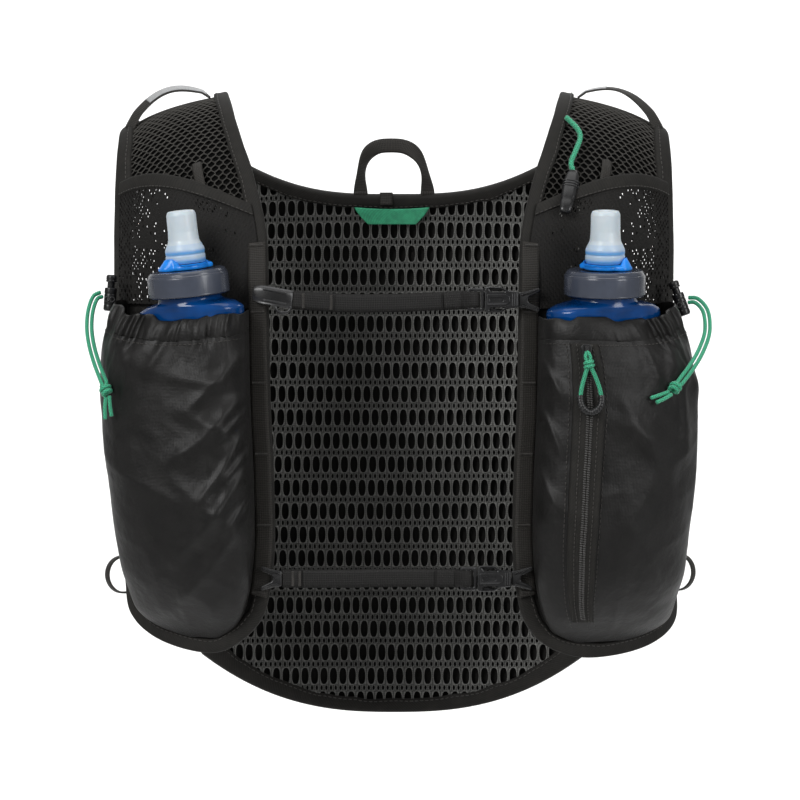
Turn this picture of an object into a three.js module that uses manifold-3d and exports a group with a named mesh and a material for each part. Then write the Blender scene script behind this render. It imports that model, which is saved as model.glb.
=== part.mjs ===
// A running hydration vest, standing in the form that it has when it is worn.
// Units are millimetres, +Z is up and the chest faces -Y. "Left" and "right" are as seen from the front.
// The origin is the crown of the shoulder line, on the middle plane, where the vest sits on its wearer.
//
// Every cloth piece lies on one smooth body form. A place on the form is given by "down", the length of a tape
// measure laid from the crown (positive down the chest, negative down the back), and "across", the distance from
// the middle plane. A third number lifts a point off the form, outwards.

import * as THREE from "three";
import { mergeVertices } from "three/addons/utils/BufferGeometryUtils.js";
import Module from "manifold-3d";

const wasm = await Module();
wasm.setup();

// Body form
const FORM_HALF_WIDTH = 170; // middle plane to the side of the chest
const FORM_SQUARENESS = 2.5; // exponent of the chest's cross-section, 2 is an ellipse
const SHOULDER_FALL = 50; // depth that sets how far the shoulders fall sideways
const CHEST_DEPTH = 98; // crown forward to the chest
const CHEST_HEIGHT = 110; // crown down to where the chest stands upright
const BACK_DEPTH = 95; // crown back to the shoulder blades
const BACK_HEIGHT = 95; // crown down to where the back stands upright
const WAIST_DRAW = 7; // how far the form draws in at the waist
const WAIST_DROP = 240; // upright length over which it draws in

// Cloth
const BACK_LENGTH = 436; // tape length from the crown to the back hem
const FRONT_LENGTH = { left: 386, right: 389 }; // tape length from the crown to the bottom of each front panel
const CLEARANCE = 0.3; // gap between pieces that are sewn together edge to edge
const LAYER_GAP = 1; // gap between pieces that lie on each other
const NET_THICKNESS = 3;
const LINING_THICKNESS = 2;
const CLOTH_THICKNESS = 1.2;
const WEBBING_THICKNESS = 1.2;
const BINDING_WIDTH = 7.5;
const BINDING_WRAP = 1; // how far a binding stands proud of the cloth that it wraps
const BACK_SEAM = 90; // tape length down the back to the seam between the back panel and the straps

// Pockets
const FLASK_MOUTH = 195; // tape length to the mouth of a flask pocket, at its middle
const HEM_HEIGHT = 13;
const POCKET_SWELL = 50; // how far a full flask pocket stands off the form
const POCKET_SPLAY = { left: 38, right: 46 }; // degrees that the pocket's outer side swells sideways
const POCKET_LEAN = 8; // degrees that its inner side leans to the middle
const POCKET_ROUND = 2.6; // exponent of the pocket's cross-section
const UPPER_HEM = { inner: 127, outer: 84 }; // tape length to the upper pocket's hem
const UPPER_HEM_HEIGHT = 9;
const UPPER_END = 195; // tape length where the upper pocket would end, behind the flask pocket
const UPPER_POCKET_GAPE = 8;

// Webbing and buckles
const RAIL_WIDTH = 10;
const STRAP_WIDTH = 10.5;
const STRAP_DOWN = { upper: 183, lower: 342 }; // tape length to each sternum strap
const HOOK_THICKNESS = 3;
const LOOP_WIDTH = 9;

// Flasks
const FLASK = {
  left: { across: FORM_HALF_WIDTH - 54.5, shift: 5, lean: 3, wings: 205 },
  right: { across: FORM_HALF_WIDTH - 50.5, shift: 2.5, lean: -3, wings: -35 },
}; // middle plane to the cap; how much further out the body hangs; lean and wings of the lock in degrees
const FLASK_YAW = 22; // degrees that a flask turns outwards
const FLASK_TILT = 8; // degrees that its cap tips forwards
const FLASK_OUT = 26; // middle of the flask to the form
const CAP_RADIUS = 23.2;
const CAP_HEIGHT = 12.5;
const CAP_DOWN = 127; // crown down to the underside of the cap
const STEM_RADIUS = 6;
const STEM_HEIGHT = 7.5;
const COLLAR_HEIGHT = 3;
const VALVE_RADIUS = 11.3;
const VALVE_TIP_RADIUS = 8.4;
const VALVE_HEIGHT = 30;
const WING_REACH = 16.5;
const RUNNING_GAP = 0.35; // between a turning or sliding piece and what carries it

// Drawcords and their locks
const CORD_RADIUS = 1.15;
const LOCK_RADIUS = 3.4;
const LOCK_LENGTH = 13.5;
const BUTTON_TRAVEL = 3;
const BUTTON_HEAD = 4.2;

const DEG = Math.PI / 180;
const { lerp, clamp } = THREE.MathUtils;
const SIDES = ["left", "right"];
const SIGN = { left: -1, right: 1 };
const at = (x, y, z) => new THREE.Vector3(x, y, z);
const UP = at(0, 0, 1);

// Finishes

const finish = (color, roughness, metalness = 0) =>
  new THREE.MeshStandardMaterial({ color, roughness, metalness });
const SPACER_MESH = finish(0x4a4a4a, 0.75);
const BLACK_NET = finish(0x1c1c1c, 0.8);
const STRETCH_MESH = finish(0x2a2927, 0.8);
const RIPSTOP = finish(0x262523, 0.45);
const BINDING_TAPE = finish(0x2b2a29, 0.8);
const WEBBING = finish(0x232221, 0.75);
const ACETAL = finish(0x1f2021, 0.4);
const GREEN_CORD = finish(0x2aa376, 0.6);
const GREEN_TAB = finish(0x2d8562, 0.6);
const FLASK_BLUE = finish(0x0a4a9c, 0.25);
const CAP_GREY = finish(0x5a5f6b, 0.35);
const LOCK_BLUE = finish(0x1f8fe8, 0.35);
const SILICONE = finish(0xd5dee2, 0.4);

const vest = new THREE.Group();

function add(name, geometry, material) {
  const mesh = new THREE.Mesh(geometry, material);
  mesh.name = name;
  vest.add(mesh);
  return mesh;
}

// Body form

const ARC_STEPS = 400;

// A quarter ellipse over the shoulder, measured along its length.
function shoulderArc(depth, height) {
  const step = Math.PI / 2 / ARC_STEPS;
  const lengths = [0];
  for (let i = 0; i < ARC_STEPS; i++) {
    const middle = (i + 0.5) * step;
    lengths.push(lengths[i] + step * Math.hypot(depth * Math.cos(middle), height * Math.sin(middle)));
  }
  return { depth, height, step, lengths, total: lengths[ARC_STEPS] };
}

const CHEST_ARC = shoulderArc(CHEST_DEPTH, CHEST_HEIGHT);
const BACK_ARC = shoulderArc(BACK_DEPTH, BACK_HEIGHT);

// How far out and how far down a tape of the given length reaches.
function tapeEnd(arc, length) {
  if (length >= arc.total) {
    const below = length - arc.total;
    return { out: arc.depth - WAIST_DRAW * (below / WAIST_DROP) ** 2, drop: arc.height + below };
  }
  let i = Math.floor((length / arc.total) * ARC_STEPS);
  while (arc.lengths[i] > length) i--;
  while (arc.lengths[i + 1] < length) i++;
  const angle = (i + (length - arc.lengths[i]) / (arc.lengths[i + 1] - arc.lengths[i])) * arc.step;
  return { out: arc.depth * Math.sin(angle), drop: arc.height * (1 - Math.cos(angle)) };
}

// The point of the form itself.
function formPoint(down, across) {
  const front = down >= 0;
  const arc = front ? CHEST_ARC : BACK_ARC;
  const length = Math.abs(down);
  const nudge = 0.5;
  const before = tapeEnd(arc, Math.max(0, length - nudge));
  const after = tapeEnd(arc, length + nudge);
  const here = tapeEnd(arc, length);
  const run = Math.hypot(after.out - before.out, after.drop - before.drop);
  const steep = (after.drop - before.drop) / run;
  const level = (after.out - before.out) / run;
  const share = Math.min(0.9999, Math.abs(across) / FORM_HALF_WIDTH);
  const round = 1 - (1 - share ** FORM_SQUARENESS) ** (1 / FORM_SQUARENESS);
  const inward = round * lerp(SHOULDER_FALL, arc.depth, steep * steep);
  const out = here.out - steep * inward;
  const drop = here.drop + level * inward;
  return at(across, front ? -out : out, -drop);
}

// The direction that points away from the wearer.
function formNormal(down, across) {
  const nudge = 0.6;
  const shift = down >= 0 && down < nudge ? nudge : 0;
  const alongTape = formPoint(down + nudge + shift, across).sub(formPoint(down - nudge + shift, across));
  const alongWidth = formPoint(down, across + nudge).sub(formPoint(down, across - nudge));
  return alongTape.cross(alongWidth).normalize();
}

const onForm = (down, across, lift = 0) =>
  formPoint(down, across).addScaledVector(formNormal(down, across), lift);

// The tape length down the chest that reaches a given height, on the upright part.
const chestDown = (z) => CHEST_ARC.total + (-z - CHEST_HEIGHT);

// Solid makers

// One closed surface from vertices and triangles, turned so that its faces point out.
function closedGeometry(points, triangles) {
  let volume = 0;
  for (const [a, b, c] of triangles) volume += points[a].dot(points[b].clone().cross(points[c]));
  const facing = volume < 0 ? triangles.map(([a, b, c]) => [a, c, b]) : triangles;
  const geometry = new THREE.BufferGeometry();
  geometry.setAttribute("position", new THREE.Float32BufferAttribute(points.flatMap((p) => p.toArray()), 3));
  geometry.setIndex(facing.flat());
  geometry.computeVertexNormals();
  return geometry;
}

// A sheet with two faces. place(u, v, face) gives a point, with u and v from 0 to 1 and face 0 inside, 1 outside.
function sheet(place, uSteps, vSteps) {
  const points = [];
  const index = (i, j, face) => (face * (uSteps + 1) + i) * (vSteps + 1) + j;
  for (const face of [0, 1])
    for (let i = 0; i <= uSteps; i++)
      for (let j = 0; j <= vSteps; j++) points.push(place(i / uSteps, j / vSteps, face));
  const triangles = [];
  const quad = (a, b, c, d) => triangles.push([a, b, c], [a, c, d]);
  for (let i = 0; i < uSteps; i++)
    for (let j = 0; j < vSteps; j++) {
      quad(index(i, j, 1), index(i + 1, j, 1), index(i + 1, j + 1, 1), index(i, j + 1, 1));
      quad(index(i, j, 0), index(i, j + 1, 0), index(i + 1, j + 1, 0), index(i + 1, j, 0));
    }
  for (let i = 0; i < uSteps; i++) {
    quad(index(i, 0, 0), index(i + 1, 0, 0), index(i + 1, 0, 1), index(i, 0, 1));
    quad(index(i, vSteps, 1), index(i + 1, vSteps, 1), index(i + 1, vSteps, 0), index(i, vSteps, 0));
  }
  for (let j = 0; j < vSteps; j++) {
    quad(index(0, j, 1), index(0, j + 1, 1), index(0, j + 1, 0), index(0, j, 0));
    quad(index(uSteps, j, 0), index(uSteps, j + 1, 0), index(uSteps, j + 1, 1), index(uSteps, j, 1));
  }
  return closedGeometry(points, triangles);
}

// A solid through rings of points, closed by a fan at each end.
function loft(rings) {
  const sides = rings[0].length;
  const points = rings.flat();
  const triangles = [];
  for (let i = 0; i + 1 < rings.length; i++)
    for (let j = 0; j < sides; j++) {
      const k = (j + 1) % sides;
      triangles.push([i * sides + j, i * sides + k, (i + 1) * sides + k]);
      triangles.push([i * sides + j, (i + 1) * sides + k, (i + 1) * sides + j]);
    }
  const last = (rings.length - 1) * sides;
  for (let j = 1; j + 1 < sides; j++) {
    triangles.push([0, j + 1, j]);
    triangles.push([last, last + j, last + j + 1]);
  }
  return closedGeometry(points, triangles);
}

// A flat band along a line of points. wide gives the direction of its width at each point.
function band(line, wide, width, thickness) {
  const count = line.length - 1;
  const place = (u, v, face) => {
    const i = Math.round(u * count);
    const along = line[Math.min(i + 1, count)].clone().sub(line[Math.max(i - 1, 0)]).normalize();
    const side = wide(i / count).clone();
    side.addScaledVector(along, -side.dot(along)).normalize();
    const thick = along.clone().cross(side);
    return line[i].clone().addScaledVector(side, (v - 0.5) * width).addScaledVector(thick, (face - 0.5) * thickness);
  };
  return sheet(place, count, 1);
}

// A round cord along a smooth curve through the given points.
function cordTube(points, radius, steps) {
  const section = new THREE.Shape();
  section.absarc(0, 0, radius, 0, 2 * Math.PI);
  return new THREE.ExtrudeGeometry(section, {
    steps,
    curveSegments: 4,
    bevelEnabled: false,
    extrudePath: new THREE.CatmullRomCurve3(points),
  });
}

// A flat moulding: an outline in X and Z, of the given thickness, whose back face lies at y.
function moulding(outline, thickness, y, holes = []) {
  const shape = new THREE.Shape(outline.map(([x, z]) => new THREE.Vector2(x, z)));
  for (const hole of holes) shape.holes.push(new THREE.Path(hole.map(([x, z]) => new THREE.Vector2(x, z))));
  const geometry = new THREE.ExtrudeGeometry(shape, { depth: thickness, bevelEnabled: false, curveSegments: 4 });
  geometry.rotateX(Math.PI / 2);
  geometry.translate(0, y, 0);
  return geometry;
}

// Several solids that touch or cross, joined into one
function joined(geometries) {
  const solids = geometries.map((geometry) => {
    const bare = geometry.clone();
    bare.deleteAttribute("normal");
    bare.deleteAttribute("uv");
    const merged = mergeVertices(bare, 1e-3);
    return new wasm.Manifold(
      new wasm.Mesh({
        numProp: 3,
        vertProperties: new Float32Array(merged.attributes.position.array),
        triVerts: new Uint32Array(merged.index.array),
      }),
    );
  });
  const mesh = wasm.Manifold.union(solids).getMesh();
  const geometry = new THREE.BufferGeometry();
  geometry.setAttribute("position", new THREE.Float32BufferAttribute(mesh.vertProperties, 3));
  geometry.setIndex(Array.from(mesh.triVerts));
  geometry.computeVertexNormals();
  return geometry;
}

// A row's value for any share between the rows of a table, joined smoothly.
function between(rows, key, value, wanted) {
  let i = 0;
  while (i < rows.length - 2 && rows[i + 1][key] < value) i++;
  const [a, b] = [rows[i], rows[i + 1]];
  const share = clamp((value - a[key]) / (b[key] - a[key]), 0, 1);
  return lerp(a[wanted], b[wanted], share * share * (3 - 2 * share));
}

// Front panels

// Edges of strap and panel, from the back seam over the shoulder to the lowest point. down is a share of the front
// length, across of the form's half width. The outer edge of each side has its own columns.
const EDGES = [
  { down: -0.233, inner: 0.518, leftDown: -0.233, left: 0.776, rightDown: -0.233, right: 0.776 },
  { down: -0.155, inner: 0.559, leftDown: -0.155, left: 0.865, rightDown: -0.155, right: 0.865 },
  { down: -0.078, inner: 0.576, leftDown: -0.078, left: 0.918, rightDown: -0.078, right: 0.918 },
  { down: 0, inner: 0.582, leftDown: 0, left: 0.947, rightDown: 0, right: 0.947 },
  { down: 0.104, inner: 0.562, leftDown: 0.104, left: 0.95, rightDown: 0.104, right: 0.95 },
  { down: 0.212, inner: 0.512, leftDown: 0.212, left: 0.95, rightDown: 0.212, right: 0.95 },
  { down: 0.285, inner: 0.468, leftDown: 0.285, left: 0.95, rightDown: 0.285, right: 0.95 },
  { down: 0.376, inner: 0.426, leftDown: 0.376, left: 0.95, rightDown: 0.376, right: 0.95 },
  { down: 0.479, inner: 0.419, leftDown: 0.479, left: 0.947, rightDown: 0.479, right: 0.947 },
  { down: 0.622, inner: 0.413, leftDown: 0.622, left: 0.929, rightDown: 0.622, right: 0.943 },
  { down: 0.751, inner: 0.401, leftDown: 0.751, left: 0.918, rightDown: 0.751, right: 0.951 },
  { down: 0.847, inner: 0.4, leftDown: 0.84, left: 0.915, rightDown: 0.84, right: 0.959 },
  { down: 0.907, inner: 0.415, leftDown: 0.905, left: 0.909, rightDown: 0.905, right: 0.964 },
  { down: 0.948, inner: 0.444, leftDown: 0.95, left: 0.889, rightDown: 0.959, right: 0.957 },
  { down: 0.979, inner: 0.506, leftDown: 0.982, left: 0.806, rightDown: 0.987, right: 0.875 },
];
const LOWEST = { left: 0.6, right: 0.635 }; // how far across the lowest point lies
const EDGE_STEPS = 20; // straight lengths of each edge

// The whole outline of one strap and front panel, as pairs of down and across
function panelOutline(side) {
  const point = (down, across) => at(down * FRONT_LENGTH[side], across * FORM_HALF_WIDTH, 0);
  const corners = [
    ...EDGES.map((row) => point(row.down, row.inner)),
    point(1, LOWEST[side]),
    ...EDGES.map((row) => point(row[side + "Down"], row[side])).reverse(),
  ];
  corners[0].x = -BACK_SEAM;
  corners[corners.length - 1].x = -BACK_SEAM;
  const curve = new THREE.CatmullRomCurve3(corners);
  return curve.getPoints(2 * EDGE_STEPS).map((p) => ({ down: p.x, across: p.y }));
}

// The outline moved inwards by a distance
function inset(outline, distance) {
  return outline.map((p, i) => {
    const before = outline[Math.max(i - 1, 0)];
    const after = outline[Math.min(i + 1, outline.length - 1)];
    const run = Math.hypot(after.down - before.down, after.across - before.across);
    const down = p.down - ((after.across - before.across) / run) * distance;
    const across = p.across + ((after.down - before.down) / run) * distance;
    return { down: Math.max(down, CLEARANCE - BACK_SEAM), across };
  });
}

// Both edges of an outline, read at a tape length
function edgesOf(outline) {
  const inner = outline.slice(0, EDGE_STEPS + 1);
  const outer = outline.slice(EDGE_STEPS).reverse();
  const read = (branch, down) => {
    let i = 0;
    while (i < branch.length - 2 && branch[i + 1].down < down) i++;
    const share = clamp((down - branch[i].down) / (branch[i + 1].down - branch[i].down), 0, 1);
    return lerp(branch[i].across, branch[i + 1].across, share);
  };
  return {
    inner: (down) => read(inner, down),
    outer: (down) => read(outer, down),
    lowest: outline[EDGE_STEPS].down,
  };
}

const PANEL = Object.fromEntries(
  SIDES.map((side) => {
    const outline = panelOutline(side);
    const cloth = inset(outline, BINDING_WIDTH + CLEARANCE);
    const pocket = inset(outline, BINDING_WIDTH + 3 * CLEARANCE);
    return [
      side,
      { outline, cloth, edge: edgesOf(outline), clothEdge: edgesOf(cloth), pocketEdge: edgesOf(pocket) },
    ];
  }),
);

// A place on the cloth of strap and panel. step counts the straight lengths of the edges, from the back seam down.
function clothPlace(side, step, wide, lift) {
  const { cloth } = PANEL[side];
  const i = Math.min(Math.floor(step), EDGE_STEPS - 1);
  const along = (a, b) => ({
    down: lerp(cloth[a].down, cloth[b].down, step - i),
    across: lerp(cloth[a].across, cloth[b].across, step - i),
  });
  const inner = along(i, i + 1);
  const outer = along(2 * EDGE_STEPS - i, 2 * EDGE_STEPS - i - 1);
  const down = lerp(inner.down, outer.down, wide);
  return onForm(down, SIGN[side] * lerp(inner.across, outer.across, wide), lift);
}

const BINDING_LOW = -BINDING_WRAP;
const BINDING_TOP = NET_THICKNESS + BINDING_WRAP;
const NET_STEPS = 11; // straight lengths of the edges along the shoulder net, which ends behind the flask pocket
const PANEL_END = EDGE_STEPS - 0.25;
const PANEL_SEAM = 0.03;

// Strap of open net from the back seam over the shoulder to behind the flask pocket
function shoulderNet(side) {
  return sheet((u, v, face) => clothPlace(side, NET_STEPS * u, v, face * NET_THICKNESS), NET_STEPS, 3);
}

// Plain lining of the front panel, behind the flask pocket
function frontPanel(side) {
  const steps = EDGE_STEPS - NET_STEPS;
  const place = (u, v, face) => {
    const step = clamp(NET_STEPS + u * steps, NET_STEPS + PANEL_SEAM, PANEL_END);
    return clothPlace(side, step, v, face * LINING_THICKNESS);
  };
  return sheet(place, steps, 3);
}

// Binding tape round the strap and panel, from seam to seam
function panelBinding(side) {
  const outer = inset(PANEL[side].outline, 0);
  const inner = inset(PANEL[side].outline, BINDING_WIDTH);
  const count = outer.length - 1;
  const place = (u, v, face) => {
    const p = (v < 0.5 ? outer : inner)[Math.round(u * count)];
    return onForm(p.down, SIGN[side] * p.across, face ? BINDING_TOP : BINDING_LOW);
  };
  return sheet(place, count, 1);
}

// Back panel

// Half width of the back panel at shares of the way from the seam down to the hem's corner
const BACK_SIDE = [
  { fall: 0, across: 0.776 },
  { fall: 0.1, across: 0.741 },
  { fall: 0.26, across: 0.718 },
  { fall: 0.5, across: 0.762 },
  { fall: 0.75, across: 0.79 },
  { fall: 0.9, across: 0.788 },
  { fall: 0.96, across: 0.76 },
  { fall: 1, across: 0.694 },
];
const NECK_DIP = 112; // tape length to the lowest point of the neckline
const NECK_HALF_WIDTH = 88;
const NECK_ROUND = 3;
const HEM_RISE = 36.5; // how far the hem's corners stand above its lowest point
const HEM_ROUND = 2.6;
const BACK_COLUMNS = 10;
const BACK_ROWS = 9;

const backHalfWidth = (fall) => between(BACK_SIDE, "fall", fall, "across") * FORM_HALF_WIDTH;

function neckline(across) {
  const share = Math.min(1, Math.abs(across) / NECK_HALF_WIDTH);
  return NECK_DIP - (NECK_DIP - BACK_SEAM) * share ** NECK_ROUND;
}

// A place on the back panel: fall is 0 at the top and 1 at the hem, wide is -1 to 1 from side to side.
// edge is how far the cloth stays inside the panel's bound edges.
function backPlace(fall, wide, edge) {
  const across = wide * (backHalfWidth(fall) - edge);
  const bound = Math.abs(wide) * (backHalfWidth(0) - edge) < NECK_HALF_WIDTH;
  const top = neckline(across) + (bound ? Math.max(edge, CLEARANCE) : CLEARANCE);
  const hem = BACK_LENGTH - edge - HEM_RISE * Math.abs(wide) ** HEM_ROUND;
  return { down: lerp(top, hem, fall), across };
}

// A place on the back's cloth by row and column, flat between the corners of each cell
function backCell(row, column, lift) {
  const r = Math.min(Math.floor(row), BACK_ROWS - 1);
  const c = Math.min(Math.floor(column), BACK_COLUMNS - 1);
  const corner = (i, j) => {
    const p = backPlace(i / BACK_ROWS, (2 * j) / BACK_COLUMNS - 1, BINDING_WIDTH + CLEARANCE);
    return onForm(-p.down, p.across, lift);
  };
  const top = corner(r, c).lerp(corner(r, c + 1), column - c);
  return top.lerp(corner(r + 1, c).lerp(corner(r + 1, c + 1), column - c), row - r);
}

// Spacer mesh with slots cut through it. Each slot is a long hexagon in the middle of its own cell.
const SLOT_WIDE = 0.62; // slot size as a share of its cell
const SLOT_TALL = 0.74;
const SLOT_SHOULDER = 0.55; // where the hexagon's straight sides end

function slottedMesh() {
  const points = [];
  const lookup = new Map();
  const vertex = ([row, column], face) => {
    const key = `${row.toFixed(4)} ${column.toFixed(4)} ${face}`;
    if (!lookup.has(key)) lookup.set(key, points.push(backCell(row, column, face * NET_THICKNESS)) - 1);
    return lookup.get(key);
  };
  const triangles = [];
  const shoulder = (SLOT_TALL / 2) * SLOT_SHOULDER;
  const hexagon = [
    [-SLOT_TALL / 2, 0],
    [-shoulder, SLOT_WIDE / 2],
    [shoulder, SLOT_WIDE / 2],
    [SLOT_TALL / 2, 0],
    [shoulder, -SLOT_WIDE / 2],
    [-shoulder, -SLOT_WIDE / 2],
  ];
  for (let r = 0; r < BACK_ROWS; r++)
    for (let c = 0; c < BACK_COLUMNS; c++) {
      const [nw, ne, se, sw] = [[r, c], [r, c + 1], [r + 1, c + 1], [r + 1, c]];
      const slot = hexagon.map(([a, b]) => [r + 0.5 + a, c + 0.5 + b]);
      const rim = [
        [nw, ne, slot[0]],
        [slot[0], ne, slot[1]],
        [slot[1], ne, se],
        [slot[1], se, slot[2]],
        [slot[2], se, slot[3]],
        [slot[3], se, sw],
        [slot[3], sw, slot[4]],
        [slot[4], sw, nw],
        [slot[4], nw, slot[5]],
        [slot[5], nw, slot[0]],
      ];
      for (const [a, b, d] of rim) {
        triangles.push([vertex(a, 1), vertex(b, 1), vertex(d, 1)]);
        triangles.push([vertex(a, 0), vertex(d, 0), vertex(b, 0)]);
      }
      slot.forEach((a, i) => {
        const b = slot[(i + 1) % slot.length];
        triangles.push([vertex(a, 1), vertex(b, 1), vertex(b, 0)]);
        triangles.push([vertex(a, 1), vertex(b, 0), vertex(a, 0)]);
      });
      // The sheet's own edge, where the cell lies on it
      const walls = [
        [r === 0, ne, nw],
        [c === BACK_COLUMNS - 1, se, ne],
        [r === BACK_ROWS - 1, sw, se],
        [c === 0, nw, sw],
      ];
      for (const [onEdge, a, b] of walls)
        if (onEdge) {
          triangles.push([vertex(a, 1), vertex(b, 1), vertex(b, 0)]);
          triangles.push([vertex(a, 1), vertex(b, 0), vertex(a, 0)]);
        }
    }
  return closedGeometry(points, triangles);
}

const SHELL_LOW = NET_THICKNESS + LAYER_GAP + CLEARANCE;
const BACK_BINDING_TOP = SHELL_LOW + CLOTH_THICKNESS + BINDING_WRAP;

// Stretch cloth that lies outside the slotted mesh
function backShell() {
  const place = (u, v, face) =>
    backCell(u * BACK_ROWS, v * BACK_COLUMNS, SHELL_LOW + face * CLOTH_THICKNESS);
  return sheet(place, BACK_ROWS, BACK_COLUMNS);
}

// Binding down one side of the back, along the hem and up the other side
function hemBinding() {
  const path = [];
  for (let i = 0; i < BACK_ROWS; i++) path.push([i / BACK_ROWS, -1]);
  for (let i = 0; i <= BACK_COLUMNS; i++) path.push([1, (2 * i) / BACK_COLUMNS - 1]);
  for (let i = BACK_ROWS - 1; i >= 0; i--) path.push([i / BACK_ROWS, 1]);
  const place = (u, v, face) => {
    const [fall, wide] = path[Math.round(u * (path.length - 1))];
    const p = backPlace(fall, wide, v * BINDING_WIDTH);
    return onForm(-p.down, p.across, face ? BACK_BINDING_TOP : BINDING_LOW);
  };
  return sheet(place, path.length - 1, 1);
}

// Binding across the neckline, from strap to strap
function neckBinding() {
  const reach = backHalfWidth(0);
  const inner = [];
  for (let i = 0; i <= BACK_COLUMNS; i++) {
    const wide = (2 * i) / BACK_COLUMNS - 1;
    if (Math.abs(wide) * (reach - BINDING_WIDTH) < NECK_HALF_WIDTH - 4) inner.push(backPlace(0, wide, BINDING_WIDTH));
  }
  const end = NECK_HALF_WIDTH - 1;
  const start = { down: BACK_SEAM + CLEARANCE + 0.5, across: -end };
  const rows = [start, ...inner, { down: start.down, across: end }];
  const place = (u, v, face) => {
    const p = rows[Math.round(u * (rows.length - 1))];
    const down = v < 0.5 ? Math.max(neckline(p.across), BACK_SEAM + CLEARANCE) : p.down;
    return onForm(-down, p.across, face ? BACK_BINDING_TOP : BINDING_LOW);
  };
  return sheet(place, rows.length - 1, 1);
}

// Pockets

// Swell of a flask pocket at shares of its length, from mouth to bottom seam
const POCKET_PROFILE = [
  { fall: 0, swell: 0.93, splay: 0.6 },
  { fall: 0.12, swell: 1, splay: 0.8 },
  { fall: 0.4, swell: 1, splay: 1 },
  { fall: 0.62, swell: 0.93, splay: 1 },
  { fall: 0.8, swell: 0.72, splay: 0.9 },
  { fall: 0.92, swell: 0.42, splay: 0.7 },
  { fall: 1, swell: 0.02, splay: 0.5 },
];
// Main folds of each flask pocket: where the middle of a fold lies, as shares of the pocket's length and width,
// its direction in degrees from level, and its length, width and height as shares of the pocket's width
const POCKET_FOLDS = {
  left: [
    { fall: 0.1, wide: 0.42, turn: 62, long: 0.3, broad: 0.05, high: -0.014 },
    { fall: 0.2, wide: 0.25, turn: 18, long: 0.3, broad: 0.05, high: 0.026 },
    { fall: 0.34, wide: 0.22, turn: 38, long: 0.34, broad: 0.05, high: 0.026 },
    { fall: 0.45, wide: 0.2, turn: 45, long: 0.3, broad: 0.05, high: -0.013 },
    { fall: 0.6, wide: 0.26, turn: 55, long: 0.45, broad: 0.06, high: 0.03 },
    { fall: 0.75, wide: 0.3, turn: 58, long: 0.4, broad: 0.06, high: -0.015 },
    { fall: 0.3, wide: 0.7, turn: 70, long: 0.5, broad: 0.09, high: -0.01 },
  ],
  right: [
    { fall: 0.22, wide: 0.16, turn: -50, long: 0.3, broad: 0.05, high: 0.024 },
    { fall: 0.4, wide: 0.14, turn: -48, long: 0.32, broad: 0.05, high: -0.012 },
    { fall: 0.56, wide: 0.15, turn: -50, long: 0.3, broad: 0.05, high: 0.024 },
    { fall: 0.35, wide: 0.52, turn: -42, long: 0.26, broad: 0.06, high: 0.024 },
    { fall: 0.45, wide: 0.78, turn: -70, long: 0.5, broad: 0.07, high: -0.015 },
    { fall: 0.22, wide: 0.86, turn: -55, long: 0.3, broad: 0.06, high: 0.03 },
  ],
};
const POCKET_WIDTH = 75;

// Height of the folds at a place on the pocket
function foldHeight(side, fall, wide, length) {
  let height = 0;
  for (const fold of POCKET_FOLDS[side]) {
    const x = (wide - fold.wide) * POCKET_WIDTH;
    const z = (fold.fall - fall) * length;
    const angle = fold.turn * DEG;
    const along = (x * Math.cos(angle) + z * Math.sin(angle)) / (fold.long * POCKET_WIDTH);
    const aside = (-x * Math.sin(angle) + z * Math.cos(angle)) / (fold.broad * POCKET_WIDTH);
    height += fold.high * POCKET_WIDTH * Math.exp(-along * along * 2 - aside * aside);
  }
  return height;
}

// The mouth dips at its middle, and its outer end stands higher than its inner end.
function mouthDown(side, wide) {
  const ends = side === "left" ? { inner: 6, outer: 13 } : { inner: 2, outer: 12 };
  const rise = wide < 0.5 ? ends.inner : ends.outer;
  return FLASK_MOUTH - rise * Math.abs(2 * wide - 1) ** 2;
}

function pocketBounds(side, down) {
  const { edge, pocketEdge } = PANEL[side];
  const beside = edge.inner(down) + RAIL_WIDTH + LAYER_GAP + 0.5;
  return { inner: Math.max(beside, pocketEdge.inner(down)), outer: pocketEdge.outer(down) };
}

// A place on the outside of a flask pocket. fall is 0 at the mouth and 1 at the bottom seam.
function pocketPlace(side, fall, wide, lift) {
  const top = mouthDown(side, wide);
  const bottom = PANEL[side].pocketEdge.lowest - 1;
  const down = lerp(top, bottom, fall);
  const { inner, outer } = pocketBounds(side, down);
  const across = lerp(inner, outer, wide);
  const arch = (1 - Math.abs(2 * wide - 1) ** POCKET_ROUND) ** (1 / POCKET_ROUND);
  const swell = between(POCKET_PROFILE, "fall", fall, "swell") * POCKET_SWELL;
  const narrow = Math.min(1, (outer - inner) / POCKET_WIDTH);
  const folds = foldHeight(side, fall, wide, bottom - top) * arch * Math.min(1, swell / 20);
  const height = swell * arch * Math.sqrt(narrow) + folds;
  const splay = between(POCKET_PROFILE, "fall", fall, "splay") * POCKET_SPLAY[side];
  const turn = lerp(-POCKET_LEAN, splay, wide) * DEG;
  const seat = NET_THICKNESS + LAYER_GAP;
  const base = onForm(down, SIGN[side] * across, seat + lift);
  return base.add(at(SIGN[side] * Math.sin(turn), -Math.cos(turn), 0).multiplyScalar(height));
}

const HEM_SHARE = HEM_HEIGHT / 190; // share of the pocket's length that the hem takes

function flaskPocket(side) {
  const place = (u, v, face) => {
    const fall = lerp(HEM_SHARE + 0.002, 1, 1 - (1 - u) ** 1.35);
    return pocketPlace(side, fall, (1 - Math.cos(Math.PI * v)) / 2, face * CLOTH_THICKNESS);
  };
  return sheet(place, 11, 12);
}

// Gathered tunnel along the pocket's mouth
const GATHERS = { left: { from: 0.05, to: 0.95 }, right: { from: 0.48, to: 0.97 } };
const GATHER_COUNT = 10;
const GATHER_HEIGHT = 1.1;

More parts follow.
